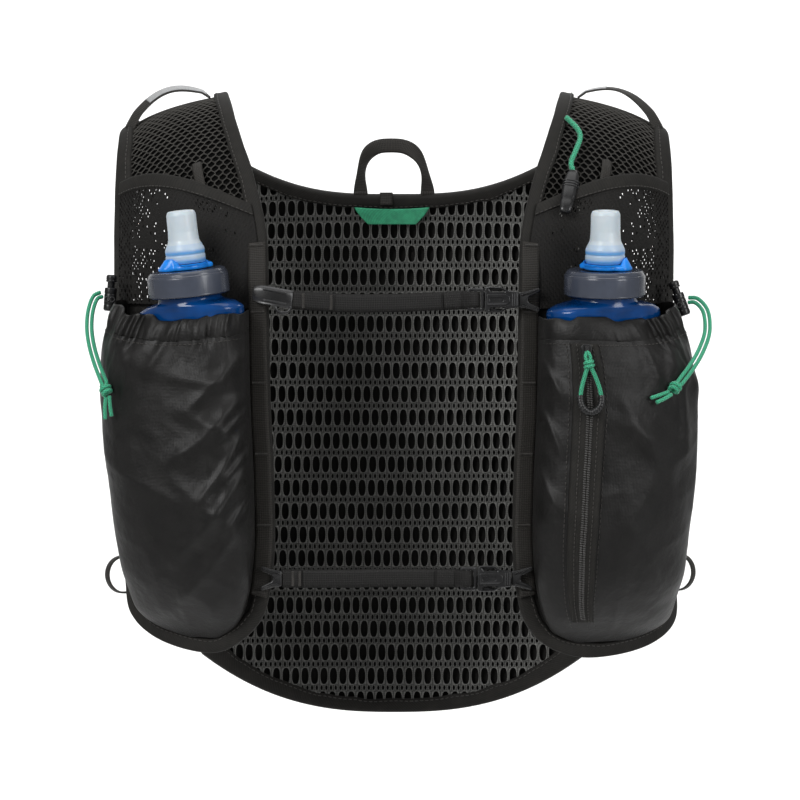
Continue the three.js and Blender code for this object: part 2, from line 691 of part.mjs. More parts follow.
function pocketHem(side) {
  const { from, to } = GATHERS[side];
  const place = (u, v, face) => {
    const wide = (1 - Math.cos(Math.PI * u)) / 2;
    const inside = clamp((wide - from) / (to - from), 0, 1);
    const ripple = Math.sin(inside * Math.PI) ** 0.5 * (1 - Math.cos(2 * Math.PI * GATHER_COUNT * inside)) / 2;
    const lift = face ? CLOTH_THICKNESS + 0.4 + GATHER_HEIGHT * ripple : 0;
    return pocketPlace(side, v * (HEM_SHARE - 0.002), wide, lift);
  };
  return sheet(place, 24, 1);
}

// Upper pocket of stretch mesh, behind the flask

const upperHemDown = (wide) => lerp(UPPER_HEM.inner, UPPER_HEM.outer, wide);

function upperPlace(side, fall, wide, lift) {
  const down = lerp(upperHemDown(wide), UPPER_END, fall);
  const { clothEdge, edge } = PANEL[side];
  const inner = Math.max(clothEdge.inner(down) + CLEARANCE, edge.inner(down) + RAIL_WIDTH + CLEARANCE + 0.5);
  const across = lerp(inner, clothEdge.outer(down) - CLEARANCE, wide);
  const fade = Math.cos((Math.PI / 2) * clamp(fall * 1.15, 0, 1));
  const gape = UPPER_POCKET_GAPE * Math.abs(Math.sin(Math.PI * wide)) ** 1.2 * fade;
  return onForm(down, SIGN[side] * across, NET_THICKNESS + LAYER_GAP + gape + lift);
}

const UPPER_HEM_SHARE = UPPER_HEM_HEIGHT / 90;

function upperPocket(side) {
  const place = (u, v, face) =>
    upperPlace(side, lerp(UPPER_HEM_SHARE + 0.004, 0.8, u), v, face * CLOTH_THICKNESS);
  return sheet(place, 6, 8);
}

function upperHem(side) {
  const place = (u, v, face) =>
    upperPlace(side, v * UPPER_HEM_SHARE, u, face * (CLOTH_THICKNESS + 0.6) - 0.15);
  return sheet(place, 8, 1);
}

// Webbing rail stitched along the inner edge, with a slack loop between each pair of bar tacks

const RAIL_TOP = 150;
const RAIL_BOTTOM = 352;
const TACKS = 5;
const RAIL_SLACK = 0.9;

function webbingRail(side) {
  const { edge } = PANEL[side];
  const steps = TACKS * 3;
  const place = (u, v, face) => {
    const down = lerp(RAIL_TOP, RAIL_BOTTOM, u);
    const slack = RAIL_SLACK * Math.sin(u * TACKS * Math.PI) ** 2;
    const across = edge.inner(down) + 0.5 + v * RAIL_WIDTH;
    return onForm(down, SIGN[side] * across, BINDING_TOP + LAYER_GAP + slack + face * WEBBING_THICKNESS);
  };
  return sheet(place, steps, 1);
}

// Small webbing tab that holds a drinking tube, over the upper pocket's hem
const TAB_WIDTH = 5.5;
const TAB_LIFT = { left: 0.5, right: -0.4 }; // above the net's own thickness
const TAB_ACROSS = { left: 0.336, right: 0.48 };

function tubeTab(side) {
  const place = (u, v, face) => {
    const across = PANEL[side].clothEdge;
    const down = lerp(upperHemDown(TAB_ACROSS[side]) - 19, upperHemDown(TAB_ACROSS[side]) - 1, u);
    const middle = lerp(across.inner(down), across.outer(down), TAB_ACROSS[side]);
    const rise = 1.6 * Math.sin(Math.PI * u * 0.8);
    const lift = NET_THICKNESS + TAB_LIFT[side] + rise + face * WEBBING_THICKNESS;
    return onForm(down, SIGN[side] * (middle + (v - 0.5) * TAB_WIDTH), lift);
  };
  return sheet(place, 4, 1);
}

// Side panel of stretch mesh that joins the front panel to the back panel under the arm
const SIDE_TOP = { front: 205, back: 182 }; // heights below the crown
const SIDE_BOTTOM = { front: 306, back: 322 };
const SIDE_GAP = 2;
const SIDE_BOW = 5;

function sidePanel(side) {
  const sign = SIGN[side];
  const low = (BINDING_LOW + BINDING_TOP) / 2 - CLOTH_THICKNESS / 2;
  const place = (u, v, face) => {
    const frontDown = chestDown(-lerp(SIDE_TOP.front, SIDE_BOTTOM.front, v));
    const backDown = BACK_ARC.total + lerp(SIDE_TOP.back, SIDE_BOTTOM.back, v) - BACK_HEIGHT;
    const front = onForm(frontDown, sign * (PANEL[side].edge.outer(frontDown) + SIDE_GAP), low);
    const corner = BACK_LENGTH - HEM_RISE;
    const fall = clamp((backDown - BACK_SEAM) / (corner - BACK_SEAM), 0, 1);
    const back = onForm(-backDown, sign * (backHalfWidth(fall) + SIDE_GAP), low);
    const chord = back.clone().sub(front).setZ(0).normalize();
    const outward = at(chord.y, -chord.x, 0).multiplyScalar(sign);
    const bow = SIDE_BOW * 4 * u * (1 - u) + (face - 0.5) * CLOTH_THICKNESS;
    return front.lerp(back, u).addScaledVector(outward, bow);
  };
  return sheet(place, 5, 3);
}

// A webbing loop at the foot of each side panel
const SIDE_LOOP = { down: 291, tall: 20, reach: 9, width: 6 };

function sideLoop(side) {
  const sign = SIGN[side];
  const down = chestDown(-SIDE_LOOP.down);
  const root = onForm(down, sign * (PANEL[side].edge.outer(down) + CLEARANCE), 1);
  const line = [];
  for (let i = 0; i <= 6; i++) {
    const angle = (i / 6) * Math.PI;
    const reach = WEBBING_THICKNESS + SIDE_GAP + SIDE_LOOP.reach * Math.sin(angle);
    line.push(root.clone().add(at(sign * reach, SIDE_LOOP.width, (SIDE_LOOP.tall / 2) * Math.cos(angle))));
  }
  return band(line, () => at(0, 1, 0), SIDE_LOOP.width, WEBBING_THICKNESS);
}

// Arched pole loop over each shoulder. It turns as it goes, so its flat side shows at its outer foot.
const POLE_LOOP = { rise: 12, inner: 109, outer: 155, down: 10 };

function poleLoop(side) {
  const sign = SIGN[side];
  const inner = onForm(POLE_LOOP.down, sign * POLE_LOOP.inner, BINDING_TOP);
  const outer = onForm(POLE_LOOP.down + 12, sign * POLE_LOOP.outer, BINDING_TOP + CLEARANCE);
  const line = [];
  for (let i = 0; i <= 9; i++) {
    const u = i / 9;
    const p = outer.clone().lerp(inner, u);
    const skew = Math.sin(Math.PI * u ** 0.85);
    line.push(p.addScaledVector(UP, CLEARANCE + POLE_LOOP.rise * skew));
  }
  const wide = (u) => at(sign * 0.9, 0, 0).multiplyScalar(Math.max(0, 0.55 - u)).add(at(0, 1, 0.12)).normalize();
  return band(line, wide, LOOP_WIDTH, WEBBING_THICKNESS);
}

// Hang loop at the back of the neck
const HANG_LOOP = { width: 51, rise: 34 };

function hangLoop() {
  const line = [];
  const foot = onForm(-(NECK_DIP - CLEARANCE - 1), 0, (BINDING_LOW + BACK_BINDING_TOP) / 2);
  const half = HANG_LOOP.width / 2 - LOOP_WIDTH / 2;
  for (let i = 0; i <= 12; i++) {
    const angle = (i / 12) * Math.PI;
    const x = -half * Math.sign(Math.cos(angle)) * Math.abs(Math.cos(angle)) ** 0.7;
    const z = (HANG_LOOP.rise - LOOP_WIDTH / 2) * Math.sin(angle) ** 0.75;
    line.push(foot.clone().add(at(x, 0, z)));
  }
  const place = (u, v, face) => {
    const i = Math.round(u * 12);
    const along = line[Math.min(i + 1, 12)].clone().sub(line[Math.max(i - 1, 0)]).normalize();
    const aside = along.clone().cross(at(0, -1, 0));
    return line[i].clone().addScaledVector(aside, (v - 0.5) * LOOP_WIDTH).add(at(0, (face - 0.5) * WEBBING_THICKNESS, 0));
  };
  return sheet(place, 12, 1);
}

// Plain green tab below the neckline, lying on the mesh
const SIZE_TAB = { top: 47, bottom: 30, tall: 10 };

function sizeTab() {
  const place = (u, v, face) => {
    const half = lerp(SIZE_TAB.top, SIZE_TAB.bottom, v) / 2;
    const down = NECK_DIP + BINDING_WIDTH + CLEARANCE + v * SIZE_TAB.tall;
    return onForm(-down, (2 * u - 1) * half - 1.5, -2 * LAYER_GAP - (1 - face) * 0.8);
  };
  return sheet(place, 4, 1);
}

// Sternum straps, drawn in X from end to end

const STRAPS = {
  upper: { from: -57.5, to: 41.7, sag: 2 },
  lower: { from: -63.5, to: 37.7, sag: 0 },
};

// How far forward and how high a strap lies: just clear of the rails
function strapFrame(level) {
  const down = STRAP_DOWN[level];
  const rail = formPoint(down, PANEL.left.edge.inner(down) + RAIL_WIDTH / 2);
  const clear = BINDING_TOP + LAYER_GAP + RAIL_SLACK + WEBBING_THICKNESS + LAYER_GAP;
  return { y: rail.y - clear, z: rail.z };
}

function sternumStrap(level) {
  const { from, to, sag } = STRAPS[level];
  const { y, z } = strapFrame(level);
  const place = (u, v, face) => {
    const drop = sag * Math.sin(Math.PI * u);
    return at(lerp(from, to, u), y - face * WEBBING_THICKNESS, z - drop + (v - 0.5) * STRAP_WIDTH);
  };
  return sheet(place, 8, 1);
}

// The two-pronged hook that grips the rail. toward is the way that its prongs point.
const HOOK = { length: 11.7, root: 8.5, tips: 14, prong: 4.2, cleft: 7 };

function forkHook(rootX, z, y, toward) {
  const [r, t] = [HOOK.root / 2, HOOK.tips / 2];
  const outline = [
    [0, -r],
    [HOOK.length, -t],
    [HOOK.length, -t + HOOK.prong],
    [HOOK.length - HOOK.cleft, -0.6],
    [HOOK.length - HOOK.cleft, 0.6],
    [HOOK.length, t - HOOK.prong],
    [HOOK.length, t],
    [0, r],
  ].map(([x, up]) => [rootX + toward * x, z + up]);
  return moulding(toward > 0 ? outline : outline.reverse(), HOOK_THICKNESS, y);
}

// The plug's frame, which the strap threads through, and the socket that holds the plug
const BUCKLE = { frame: 9.4, height: 13.4, rail: 2, body: 19.3, mouth: 14.5, waist: 9, thickness: 6 };

function bucklePlug(x, z, y) {
  const half = BUCKLE.height / 2;
  const outline = [
    [x, z - half],
    [x + BUCKLE.frame, z - half],
    [x + BUCKLE.frame, z + half],
    [x, z + half],
  ];
  const window = [
    [x + BUCKLE.rail, z - half + BUCKLE.rail],
    [x + BUCKLE.rail, z + half - BUCKLE.rail],
    [x + BUCKLE.frame - BUCKLE.rail, z + half - BUCKLE.rail],
    [x + BUCKLE.frame - BUCKLE.rail, z - half + BUCKLE.rail],
  ];
  return moulding(outline, BUCKLE.thickness - 1.5, y, [window]);
}

function buckleSocket(x, z, y) {
  const neck = BUCKLE.body * 0.7;
  const outline = [
    [0, -BUCKLE.mouth / 2],
    [neck * 0.8, -BUCKLE.mouth / 2],
    [neck, -BUCKLE.waist / 2],
    [BUCKLE.body, -BUCKLE.waist / 2],
    [BUCKLE.body, BUCKLE.waist / 2],
    [neck, BUCKLE.waist / 2],
    [neck * 0.8, BUCKLE.mouth / 2],
    [0, BUCKLE.mouth / 2],
  ].map(([a, b]) => [x + a, z + b]);
  return moulding(outline, BUCKLE.thickness, y);
}

// Clip on the left end of the upper strap: a band bent forwards, that hooks behind the rail's edge
const CLIP = { height: 10.5, length: 22, thickness: 2.2, lift: 4 };
const CLIP_BOW = [
  { along: 0, bow: 0 },
  { along: 0.25, bow: 1.8 },
  { along: 0.55, bow: 1.6 },
  { along: 0.8, bow: 0.6 },
  { along: 1, bow: 0 },
];

function bentClip(rootX, z, y) {
  const last = CLIP_BOW.length - 1;
  const place = (u, v, face) => {
    const { along, bow } = CLIP_BOW[Math.round(u * last)];
    const up = z + CLIP.lift * along + (v - 0.5) * CLIP.height;
    return at(rootX - along * CLIP.length, y - bow - face * CLIP.thickness, up);
  };
  return sheet(place, last, 1);
}

// Flasks

const FLASK_SIDES = 14;
// Rings of the flask below its cap: drop below the cap, half width and half depth, and how far out its middle is,
// as shares of the cap's drop, of the cap's radius and of the flask's own distance from the form
const FLASK_RINGS = [
  { drop: 0.5, wide: 0.76, deep: 0.76, out: 1.16, tilt: 1 },
  { drop: 3.2, wide: 0.8, deep: 0.78, out: 1.15, tilt: 1 },
  { drop: 5, wide: 1.12, deep: 0.84, out: 1.12, tilt: 1 },
  { drop: 8, wide: 1.33, deep: 0.86, out: 1.08, tilt: 0.9 },
  { drop: 14, wide: 1.38, deep: 0.88, out: 1.02, tilt: 0.6 },
  { drop: 30, wide: 1.4, deep: 0.92, out: 0.98, tilt: 0.2 },
  { drop: 80, wide: 1.4, deep: 0.92, out: 0.96, tilt: 0 },
  { drop: 120, wide: 1.36, deep: 0.82, out: 0.9, tilt: 0 },
  { drop: 146, wide: 1.22, deep: 0.6, out: 0.74, tilt: 0 },
  { drop: 162, wide: 1, deep: 0.36, out: 0.58, tilt: 0 },
  { drop: 170, wide: 0.7, deep: 0.18, out: 0.48, tilt: 0 },
];

// The directions of a flask: out of the chest, outwards to the side, and up along its own axis
function flaskFrame(side) {
  const sign = SIGN[side];
  const yaw = FLASK_YAW * DEG;
  const out = at(sign * Math.sin(yaw), -Math.cos(yaw), 0);
  const aside = at(sign * Math.cos(yaw), Math.sin(yaw), 0);
  const axis = UP.clone().addScaledVector(out, Math.tan(FLASK_TILT * DEG));
  axis.addScaledVector(aside, Math.tan(FLASK[side].lean * DEG)).normalize();
  const reach = FLASK_OUT * FLASK_RINGS[0].out;
  const base = formPoint(chestDown(-CAP_DOWN), sign * (FLASK[side].across - Math.sin(yaw) * reach));
  const turn = new THREE.Quaternion().setFromUnitVectors(UP, axis);
  return { out, aside, axis, turn, seat: base.addScaledVector(out, reach) };
}

const SHOULDER_DROP = 8; // below this the flask hangs upright

function flaskBody(side) {
  const { out, aside, axis, turn, seat } = flaskFrame(side);
  const rings = FLASK_RINGS.map((row) => {
    const middle = seat.clone();
    middle.addScaledVector(axis, -Math.min(row.drop, SHOULDER_DROP));
    middle.z -= Math.max(0, row.drop - SHOULDER_DROP);
    middle.addScaledVector(out, (row.out - FLASK_RINGS[0].out) * FLASK_OUT);
    middle.addScaledVector(aside, (1 - row.tilt) * FLASK[side].shift);
    const tilt = new THREE.Quaternion().slerp(turn, row.tilt);
    const forward = out.clone().applyQuaternion(tilt);
    const sideways = aside.clone().applyQuaternion(tilt);
    const ring = [];
    for (let k = 0; k < FLASK_SIDES; k++) {
      const angle = (k / FLASK_SIDES) * 2 * Math.PI;
      const p = middle.clone();
      p.addScaledVector(sideways, CAP_RADIUS * row.wide * Math.cos(angle));
      p.addScaledVector(forward, CAP_RADIUS * row.deep * Math.sin(angle));
      ring.push(p);
    }
    return ring;
  });
  return loft(rings);
}

// A turned piece on the flask's axis, from a profile of radius and height
function turned(profile, side, segments) {
  const geometry = new THREE.LatheGeometry(profile.map(([r, h]) => new THREE.Vector2(r, h)), segments);
  geometry.rotateX(Math.PI / 2);
  const { turn, seat } = flaskFrame(side);
  geometry.applyQuaternion(turn);
  geometry.translate(seat.x, seat.y, seat.z);
  return geometry;
}

function flaskCap(side) {
  const top = CAP_HEIGHT;
  return turned(
    [
      [0, 0],
      [CAP_RADIUS - 0.8, 0],
      [CAP_RADIUS, 0.8],
      [CAP_RADIUS, top - 1.6],
      [CAP_RADIUS - 1.6, top],
      [STEM_RADIUS, top],
      [STEM_RADIUS, top + STEM_HEIGHT],
      [0, top + STEM_HEIGHT],
    ],
    side,
    20,
  );
}

// Silicone bite valve, hollow below where it fits over the cap's stem
function biteValve(side) {
  const low = CAP_HEIGHT + COLLAR_HEIGHT + 2 * RUNNING_GAP;
  const stemTop = CAP_HEIGHT + STEM_HEIGHT + RUNNING_GAP;
  const bore = STEM_RADIUS + RUNNING_GAP;
  return turned(
    [
      [bore, low],
      [VALVE_RADIUS - 0.4, low],
      [VALVE_RADIUS, low + 1.2],
      [VALVE_RADIUS, low + VALVE_HEIGHT * 0.28],
      [VALVE_TIP_RADIUS + 0.6, low + VALVE_HEIGHT * 0.4],
      [VALVE_TIP_RADIUS, low + VALVE_HEIGHT * 0.62],
      [VALVE_TIP_RADIUS, low + VALVE_HEIGHT - 1],
      [VALVE_TIP_RADIUS - 1, low + VALVE_HEIGHT],
      [0, low + VALVE_HEIGHT],
      [0, stemTop],
      [bore, stemTop],
      [bore, low],
    ],
    side,
    14,
  );
}

// Turning lock under the valve: a ring with two wings that sweep up beside the valve
const LOCK_SEGMENTS = 24;

function valveLock(side) {
  const low = CAP_HEIGHT + RUNNING_GAP;
  const bore = STEM_RADIUS + RUNNING_GAP;
  const rim = VALVE_RADIUS + RUNNING_GAP + 0.4;
  const { turn, seat } = flaskFrame(side);
  const points = [];
  for (let k = 0; k < LOCK_SEGMENTS; k++) {
    const angle = (k / LOCK_SEGMENTS) * 2 * Math.PI;
    const wing = Math.max(0, Math.abs(Math.cos(angle - FLASK[side].wings * DEG)) - 0.86) / 0.14;
    const reach = lerp(VALVE_RADIUS + 0.7, WING_REACH, wing ** 0.8);
    const crest = low + COLLAR_HEIGHT + 3.6 * wing;
    const section = [
      [bore, low],
      [reach, low],
      [reach, low + COLLAR_HEIGHT * lerp(0.75, 0.5, wing)],
      [Math.max(rim, lerp(rim, reach - 2, wing * 0.5)), crest],
      [rim, crest],
      [rim - 0.6, low + COLLAR_HEIGHT],
      [bore, low + COLLAR_HEIGHT],
    ];
    for (const [r, h] of section) {
      const p = at(r * Math.cos(angle), r * Math.sin(angle), h).applyQuaternion(turn);
      points.push(p.add(seat));
    }
  }
  const size = 7;
  const triangles = [];
  for (let k = 0; k < LOCK_SEGMENTS; k++)
    for (let j = 0; j < size; j++) {
      const next = (k + 1) % LOCK_SEGMENTS;
      const [a, b] = [k * size + j, k * size + ((j + 1) % size)];
      const [c, d] = [next * size + ((j + 1) % size), next * size + j];
      triangles.push([a, b, c], [a, c, d]);
    }
  return closedGeometry(points, triangles);
}

// Drawcord locks at the outer end of each flask pocket's mouth

const LOCK_PLACE = {
  left: { x: -(FORM_HALF_WIDTH - 5.2), y: -69, z: -135, lean: 4 },
  right: { x: FORM_HALF_WIDTH - 1.2, y: -69, z: -137.5, lean: 20 },
};

function lockTurned(profile, side, segments = 10) {
  const { x, y, z, lean } = LOCK_PLACE[side];
  const geometry = new THREE.LatheGeometry(profile.map(([r, h]) => new THREE.Vector2(r, h)), segments);
  geometry.rotateX(Math.PI / 2);
  geometry.rotateY(SIGN[side] * -lean * DEG);
  geometry.translate(x, y, z);
  return geometry;
}

function lockBarrel(side) {
  const floor = LOCK_LENGTH - BUTTON_TRAVEL - 7;
  const bore = LOCK_RADIUS - 0.9;
  return lockTurned(
    [
      [0, 0],
      [LOCK_RADIUS - 0.6, 0],
      [LOCK_RADIUS, 0.6],
      [LOCK_RADIUS, LOCK_LENGTH],
      [bore, LOCK_LENGTH],
      [bore, floor],
      [0, floor],
    ],
    side,
  );
}

function lockButton(side) {
  const shaft = LOCK_RADIUS - 0.9 - RUNNING_GAP;
  const head = LOCK_LENGTH + BUTTON_TRAVEL + RUNNING_GAP;
  return lockTurned(
    [
      [0, head - BUTTON_TRAVEL - 5],
      [shaft, head - BUTTON_TRAVEL - 5],
      [shaft, head],
      [LOCK_RADIUS - 0.3, head],
      [LOCK_RADIUS - 0.3, head + BUTTON_HEAD - 0.8],
      [LOCK_RADIUS - 1.1, head + BUTTON_HEAD],
      [0, head + BUTTON_HEAD],
    ],
    side,
  );
}

// The drawcord's loop: two strands that hang from the lock to a knot, with short tails. Points are chosen by hand,
// and each is measured from the foot of its lock.
const CORD_ROUTE = {
  left: [
    [-4.5, -0.6, 9.6],
    [-7.4, -2.6, 8.2],
    [-9.8, -7.6, 1.4],
    [-10.2, -15, -9],
    [-8.4, -23, -19],
    [-4.6, -32, -30],
    [0.8, -42, -42],
  ],
  right: [
    [1.8, -0.6, 8.9],
    [5.8, -2.4, 8.7],
    [10.6, -8, 3.1],
    [11.2, -18, -9],
    [7.2, -28, -19.5],
    [0.8, -39.2, -29.5],
    [-7, -49, -39],
  ],
};
const TAIL_ROUTE = {
  left: [
    [3, -45.6, -49.5],
    [3, -46.6, -55],
    [3.6, -47.6, -61.5],
  ],
  right: [
    [-13.2, -54.6, -45.1],
    [-17.6, -57.8, -47.1],
    [-22.8, -60.8, -49.1],
  ],
};
const STRAND_GAP = 2 * CORD_RADIUS + 0.5;
const KNOT_RADIUS = 3.2;

function fromLock(side, points) {
  const { x, y, z } = LOCK_PLACE[side];
  return points.map(([right, back, up]) => at(x + right, y + back, z + up));
}

// One of the two strands, set beside the route so that both show from the front
function strand(side, which) {
  const route = fromLock(side, CORD_ROUTE[side]);
  return route.map((p, i) => {
    const along = route[Math.min(i + 1, route.length - 1)].clone().sub(route[Math.max(i - 1, 0)]);
    const aside = along.cross(at(0, 1, 0)).normalize();
    return p.clone().addScaledVector(aside, (which - 0.5) * STRAND_GAP);
  });
}

// The knot that both strands run into, with the tails below it
function cordKnot(end, tail) {
  const along = tail.clone().sub(end);
  const profile = [
    [0, -0.62],
    [0.62, -0.5],
    [1, -0.14],
    [1, 0.18],
    [0.62, 0.5],
    [0, 0.62],
  ].map(([r, h]) => new THREE.Vector2(r * KNOT_RADIUS, h * along.length()));
  const geometry = new THREE.LatheGeometry(profile, 8);
  geometry.applyQuaternion(new THREE.Quaternion().setFromUnitVectors(at(0, 1, 0), along.normalize()));
  const middle = end.clone().lerp(tail, 0.5);
  geometry.translate(middle.x, middle.y, middle.z);
  return geometry;
}

function drawcord(side) {
  const tail = fromLock(side, TAIL_ROUTE[side]);
  return joined([
    cordTube(strand(side, 0), CORD_RADIUS, 9),
    cordTube(strand(side, 1), CORD_RADIUS, 9),
    cordKnot(fromLock(side, CORD_ROUTE[side]).at(-1), tail[0]),
    cordTube(tail, CORD_RADIUS * 1.3, 3),
  ]);
}

// Zip on the right flask pocket

const ZIP = { wide: 0.27, width: 16, from: 0.09, to: 0.93 };

function zipPlace(u, v, lift) {
  const fall = lerp(ZIP.from, ZIP.to, u);
  const wide = ZIP.wide + (v - 0.5) * (ZIP.width / POCKET_WIDTH);
  return pocketPlace("right", fall, wide, CLOTH_THICKNESS + 1.5 * LAYER_GAP + lift);
}

function zipTape() {
  const ridge = [0, 0.25, 1, 0.25, 0];
  const place = (u, v, face) => zipPlace(u, v, face * (0.9 + 0.7 * ridge[Math.round(v * 4)]));
  return sheet(place, 10, 4);
}

const SLIDER = { width: 6.5, length: 9, thickness: 3 };

function zipSlider() {
  const middle = zipPlace(0.045, 0.5, 1.6 + CLEARANCE);
  const box = new THREE.BoxGeometry(SLIDER.width, SLIDER.thickness, SLIDER.length);
  box.rotateZ(8 * DEG);
  box.translate(middle.x, middle.y - SLIDER.thickness / 2 - 0.5, middle.z);
  return box;
}

// Cord and moulded grip of the zip's puller
const PULL = { drop: 31, half: 6, grip: 2 };

function pullPoint(share, aside) {
  return zipPlace(0.045 + share * 0.16, 0.5, 3.4).add(at(aside, -1.4, 0));
}

function pullCord() {
  const points = [
    pullPoint(1.02, -PULL.half),
    pullPoint(0.75, -PULL.half * 0.75),
    pullPoint(0.45, -2),
    pullPoint(0.32, 0),
    pullPoint(0.45, 2),
    pullPoint(0.75, PULL.half * 0.75),
    pullPoint(1.02, PULL.half),
  ];
  return cordTube(points, CORD_RADIUS, 14);
}

function pullGrip() {
  const points = [];
  for (let i = 0; i <= 6; i++) {
    const angle = (i / 6) * Math.PI;
    points.push(pullPoint(1.07 + 0.3 * Math.sin(angle), -PULL.half * Math.cos(angle)));
  }
  return cordTube(points, PULL.grip, 8);
}

// Whistle that hangs from the right strap on a braided cord
const WHISTLE = { width: 8.6, length: 27, thickness: 6 };
const WHISTLE_CORD = [
  { down: 20, across: 102.5 },
  { down: 28, across: 111 },
  { down: 40, across: 114 },
  { down: 52, across: 113.5 },
  { down: 62, across: 110.5 },
  { down: 72, across: 109.5 },
];

function whistleCord() {
  const points = WHISTLE_CORD.map(({ down, across }, i) => onForm(down, across, BINDING_TOP + (i ? 2.6 : 0.7)));
  return cordTube(points, 1.5, 9);
}

function whistleBody() {
  const last = WHISTLE_CORD.at(-1);
  const top = onForm(last.down + 0.4, last.across, BINDING_TOP + 2.6 + WHISTLE.thickness / 2 - 2);
  const foot = onForm(last.down + 2 + WHISTLE.length, last.across - 5, BINDING_TOP + UPPER_POCKET_GAPE + 4);
  const along = foot.clone().sub(top).normalize();
  const wide = at(1, 0, 0).addScaledVector(along, -along.x).normalize();
  const thick = along.clone().cross(wide);
  const sections = [
    [0, 0.62, 0.7],
    [0.12, 1, 1],
    [0.72, 1, 1],
    [1, 0.62, 0.7],
  ];
  const corners = [
    [-1, -0.6],
    [-0.6, -1],
    [0.6, -1],
    [1, -0.6],
    [1, 0.6],
    [0.6, 1],
    [-0.6, 1],
    [-1, 0.6],
  ];
  return loft(
    sections.map(([share, w, t]) =>
      corners.map(([a, b]) =>
        top.clone().addScaledVector(along, share * WHISTLE.length)
          .addScaledVector(wide, (a * w * WHISTLE.width) / 2)
          .addScaledVector(thick, (b * t * WHISTLE.thickness) / 2),
      ),
    ),
  );
}

// Assembly

add("back_mesh", slottedMesh(), SPACER_MESH);
add("back_shell", backShell(), STRETCH_MESH);
add("hem_binding", hemBinding(), BINDING_TAPE);
add("neck_binding", neckBinding(), BINDING_TAPE);
add("hang_loop", hangLoop(), WEBBING);
add("size_tab", sizeTab(), GREEN_TAB);

for (const side of SIDES) {
  add(`shoulder_net_${side}`, shoulderNet(side), BLACK_NET);
  add(`front_panel_${side}`, frontPanel(side), STRETCH_MESH);
  add(`panel_binding_${side}`, panelBinding(side), BINDING_TAPE);
  add(`flask_pocket_${side}`, flaskPocket(side), RIPSTOP);
  add(`pocket_hem_${side}`, pocketHem(side), RIPSTOP);
  add(`upper_pocket_${side}`, upperPocket(side), STRETCH_MESH);
  add(`upper_hem_${side}`, upperHem(side), BINDING_TAPE);
  add(`webbing_rail_${side}`, webbingRail(side), WEBBING);
  add(`tube_tab_${side}`, tubeTab(side), WEBBING);
  add(`side_panel_${side}`, sidePanel(side), STRETCH_MESH);
  add(`side_loop_${side}`, sideLoop(side), WEBBING);
  add(`pole_loop_${side}`, poleLoop(side), WEBBING);
  add(`flask_${side}`, flaskBody(side), FLASK_BLUE);
  add(`flask_cap_${side}`, flaskCap(side), CAP_GREY);
  add(`bite_valve_${side}`, biteValve(side), SILICONE);
  add(`valve_lock_${side}`, valveLock(side), LOCK_BLUE);
  add(`cord_lock_${side}`, lockBarrel(side), ACETAL);
  add(`lock_button_${side}`, lockButton(side), ACETAL);
  add(`drawcord_${side}`, drawcord(side), GREEN_CORD);
}

for (const level of ["upper", "lower"]) {
  const { y, z } = strapFrame(level);
  const { from, to } = STRAPS[level];
  const plug = to + CLEARANCE;
  const socket = plug + BUCKLE.frame + CLEARANCE;
  const hook = socket + BUCKLE.body + CLEARANCE;
  add(`sternum_strap_${level}`, sternumStrap(level), WEBBING);
  add(`buckle_plug_${level}`, bucklePlug(plug, z, y), ACETAL);
  add(`buckle_socket_${level}`, buckleSocket(socket, z, y), ACETAL);
  add(`hook_right_${level}`, forkHook(hook, z, y, 1), ACETAL);
  if (level === "upper") add("clip_left_upper", bentClip(from - CLEARANCE, z, y), ACETAL);
  else add("hook_left_lower", forkHook(from - CLEARANCE, z, y, -1), ACETAL);
}

add("zip_tape", zipTape(), BINDING_TAPE);
add("zip_slider", zipSlider(), ACETAL);
add("zip_pull_cord", pullCord(), GREEN_CORD);
add("zip_pull_grip", pullGrip(), ACETAL);
add("whistle_cord", whistleCord(), GREEN_CORD);
add("whistle", whistleBody(), ACETAL);

export default vest;
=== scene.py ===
"""Looks of a running hydration vest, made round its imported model. Lengths in this file are millimetres."""

import math
from functools import partial

import bmesh
import bpy
import numpy as np
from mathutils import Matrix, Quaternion, Vector


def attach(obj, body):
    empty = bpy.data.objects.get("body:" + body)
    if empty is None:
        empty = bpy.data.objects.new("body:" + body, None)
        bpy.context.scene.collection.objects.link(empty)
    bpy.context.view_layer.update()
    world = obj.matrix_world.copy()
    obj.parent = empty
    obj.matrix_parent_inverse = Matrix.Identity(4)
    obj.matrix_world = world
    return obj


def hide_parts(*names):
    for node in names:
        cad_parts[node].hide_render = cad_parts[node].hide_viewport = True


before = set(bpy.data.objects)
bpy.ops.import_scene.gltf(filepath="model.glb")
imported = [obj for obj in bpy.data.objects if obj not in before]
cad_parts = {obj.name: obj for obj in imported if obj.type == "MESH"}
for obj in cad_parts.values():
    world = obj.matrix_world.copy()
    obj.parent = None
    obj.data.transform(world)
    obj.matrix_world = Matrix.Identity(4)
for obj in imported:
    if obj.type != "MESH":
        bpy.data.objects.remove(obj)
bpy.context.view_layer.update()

bl_info = {
    "name": "Running hydration vest",
    "version": (1, 0, 0),
    "blender": (4, 5, 0),
    "location": "View3D > Sidebar > Vest",
    "description": "Makes the cloth, cords, flasks and buckles of a running vest round its packed model",
    "category": "Add Mesh",
}

SIDES = ("left", "right")
SIGN = {"left": -1, "right": 1}
MM = 0.001

# ---------------------------------------------------------------------------------------------------------------
# Sizes in millimetres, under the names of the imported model's source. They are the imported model's own, apart from
# the binding's width, the caps' height and the whistle's cord, which follow the real ones more closely here.

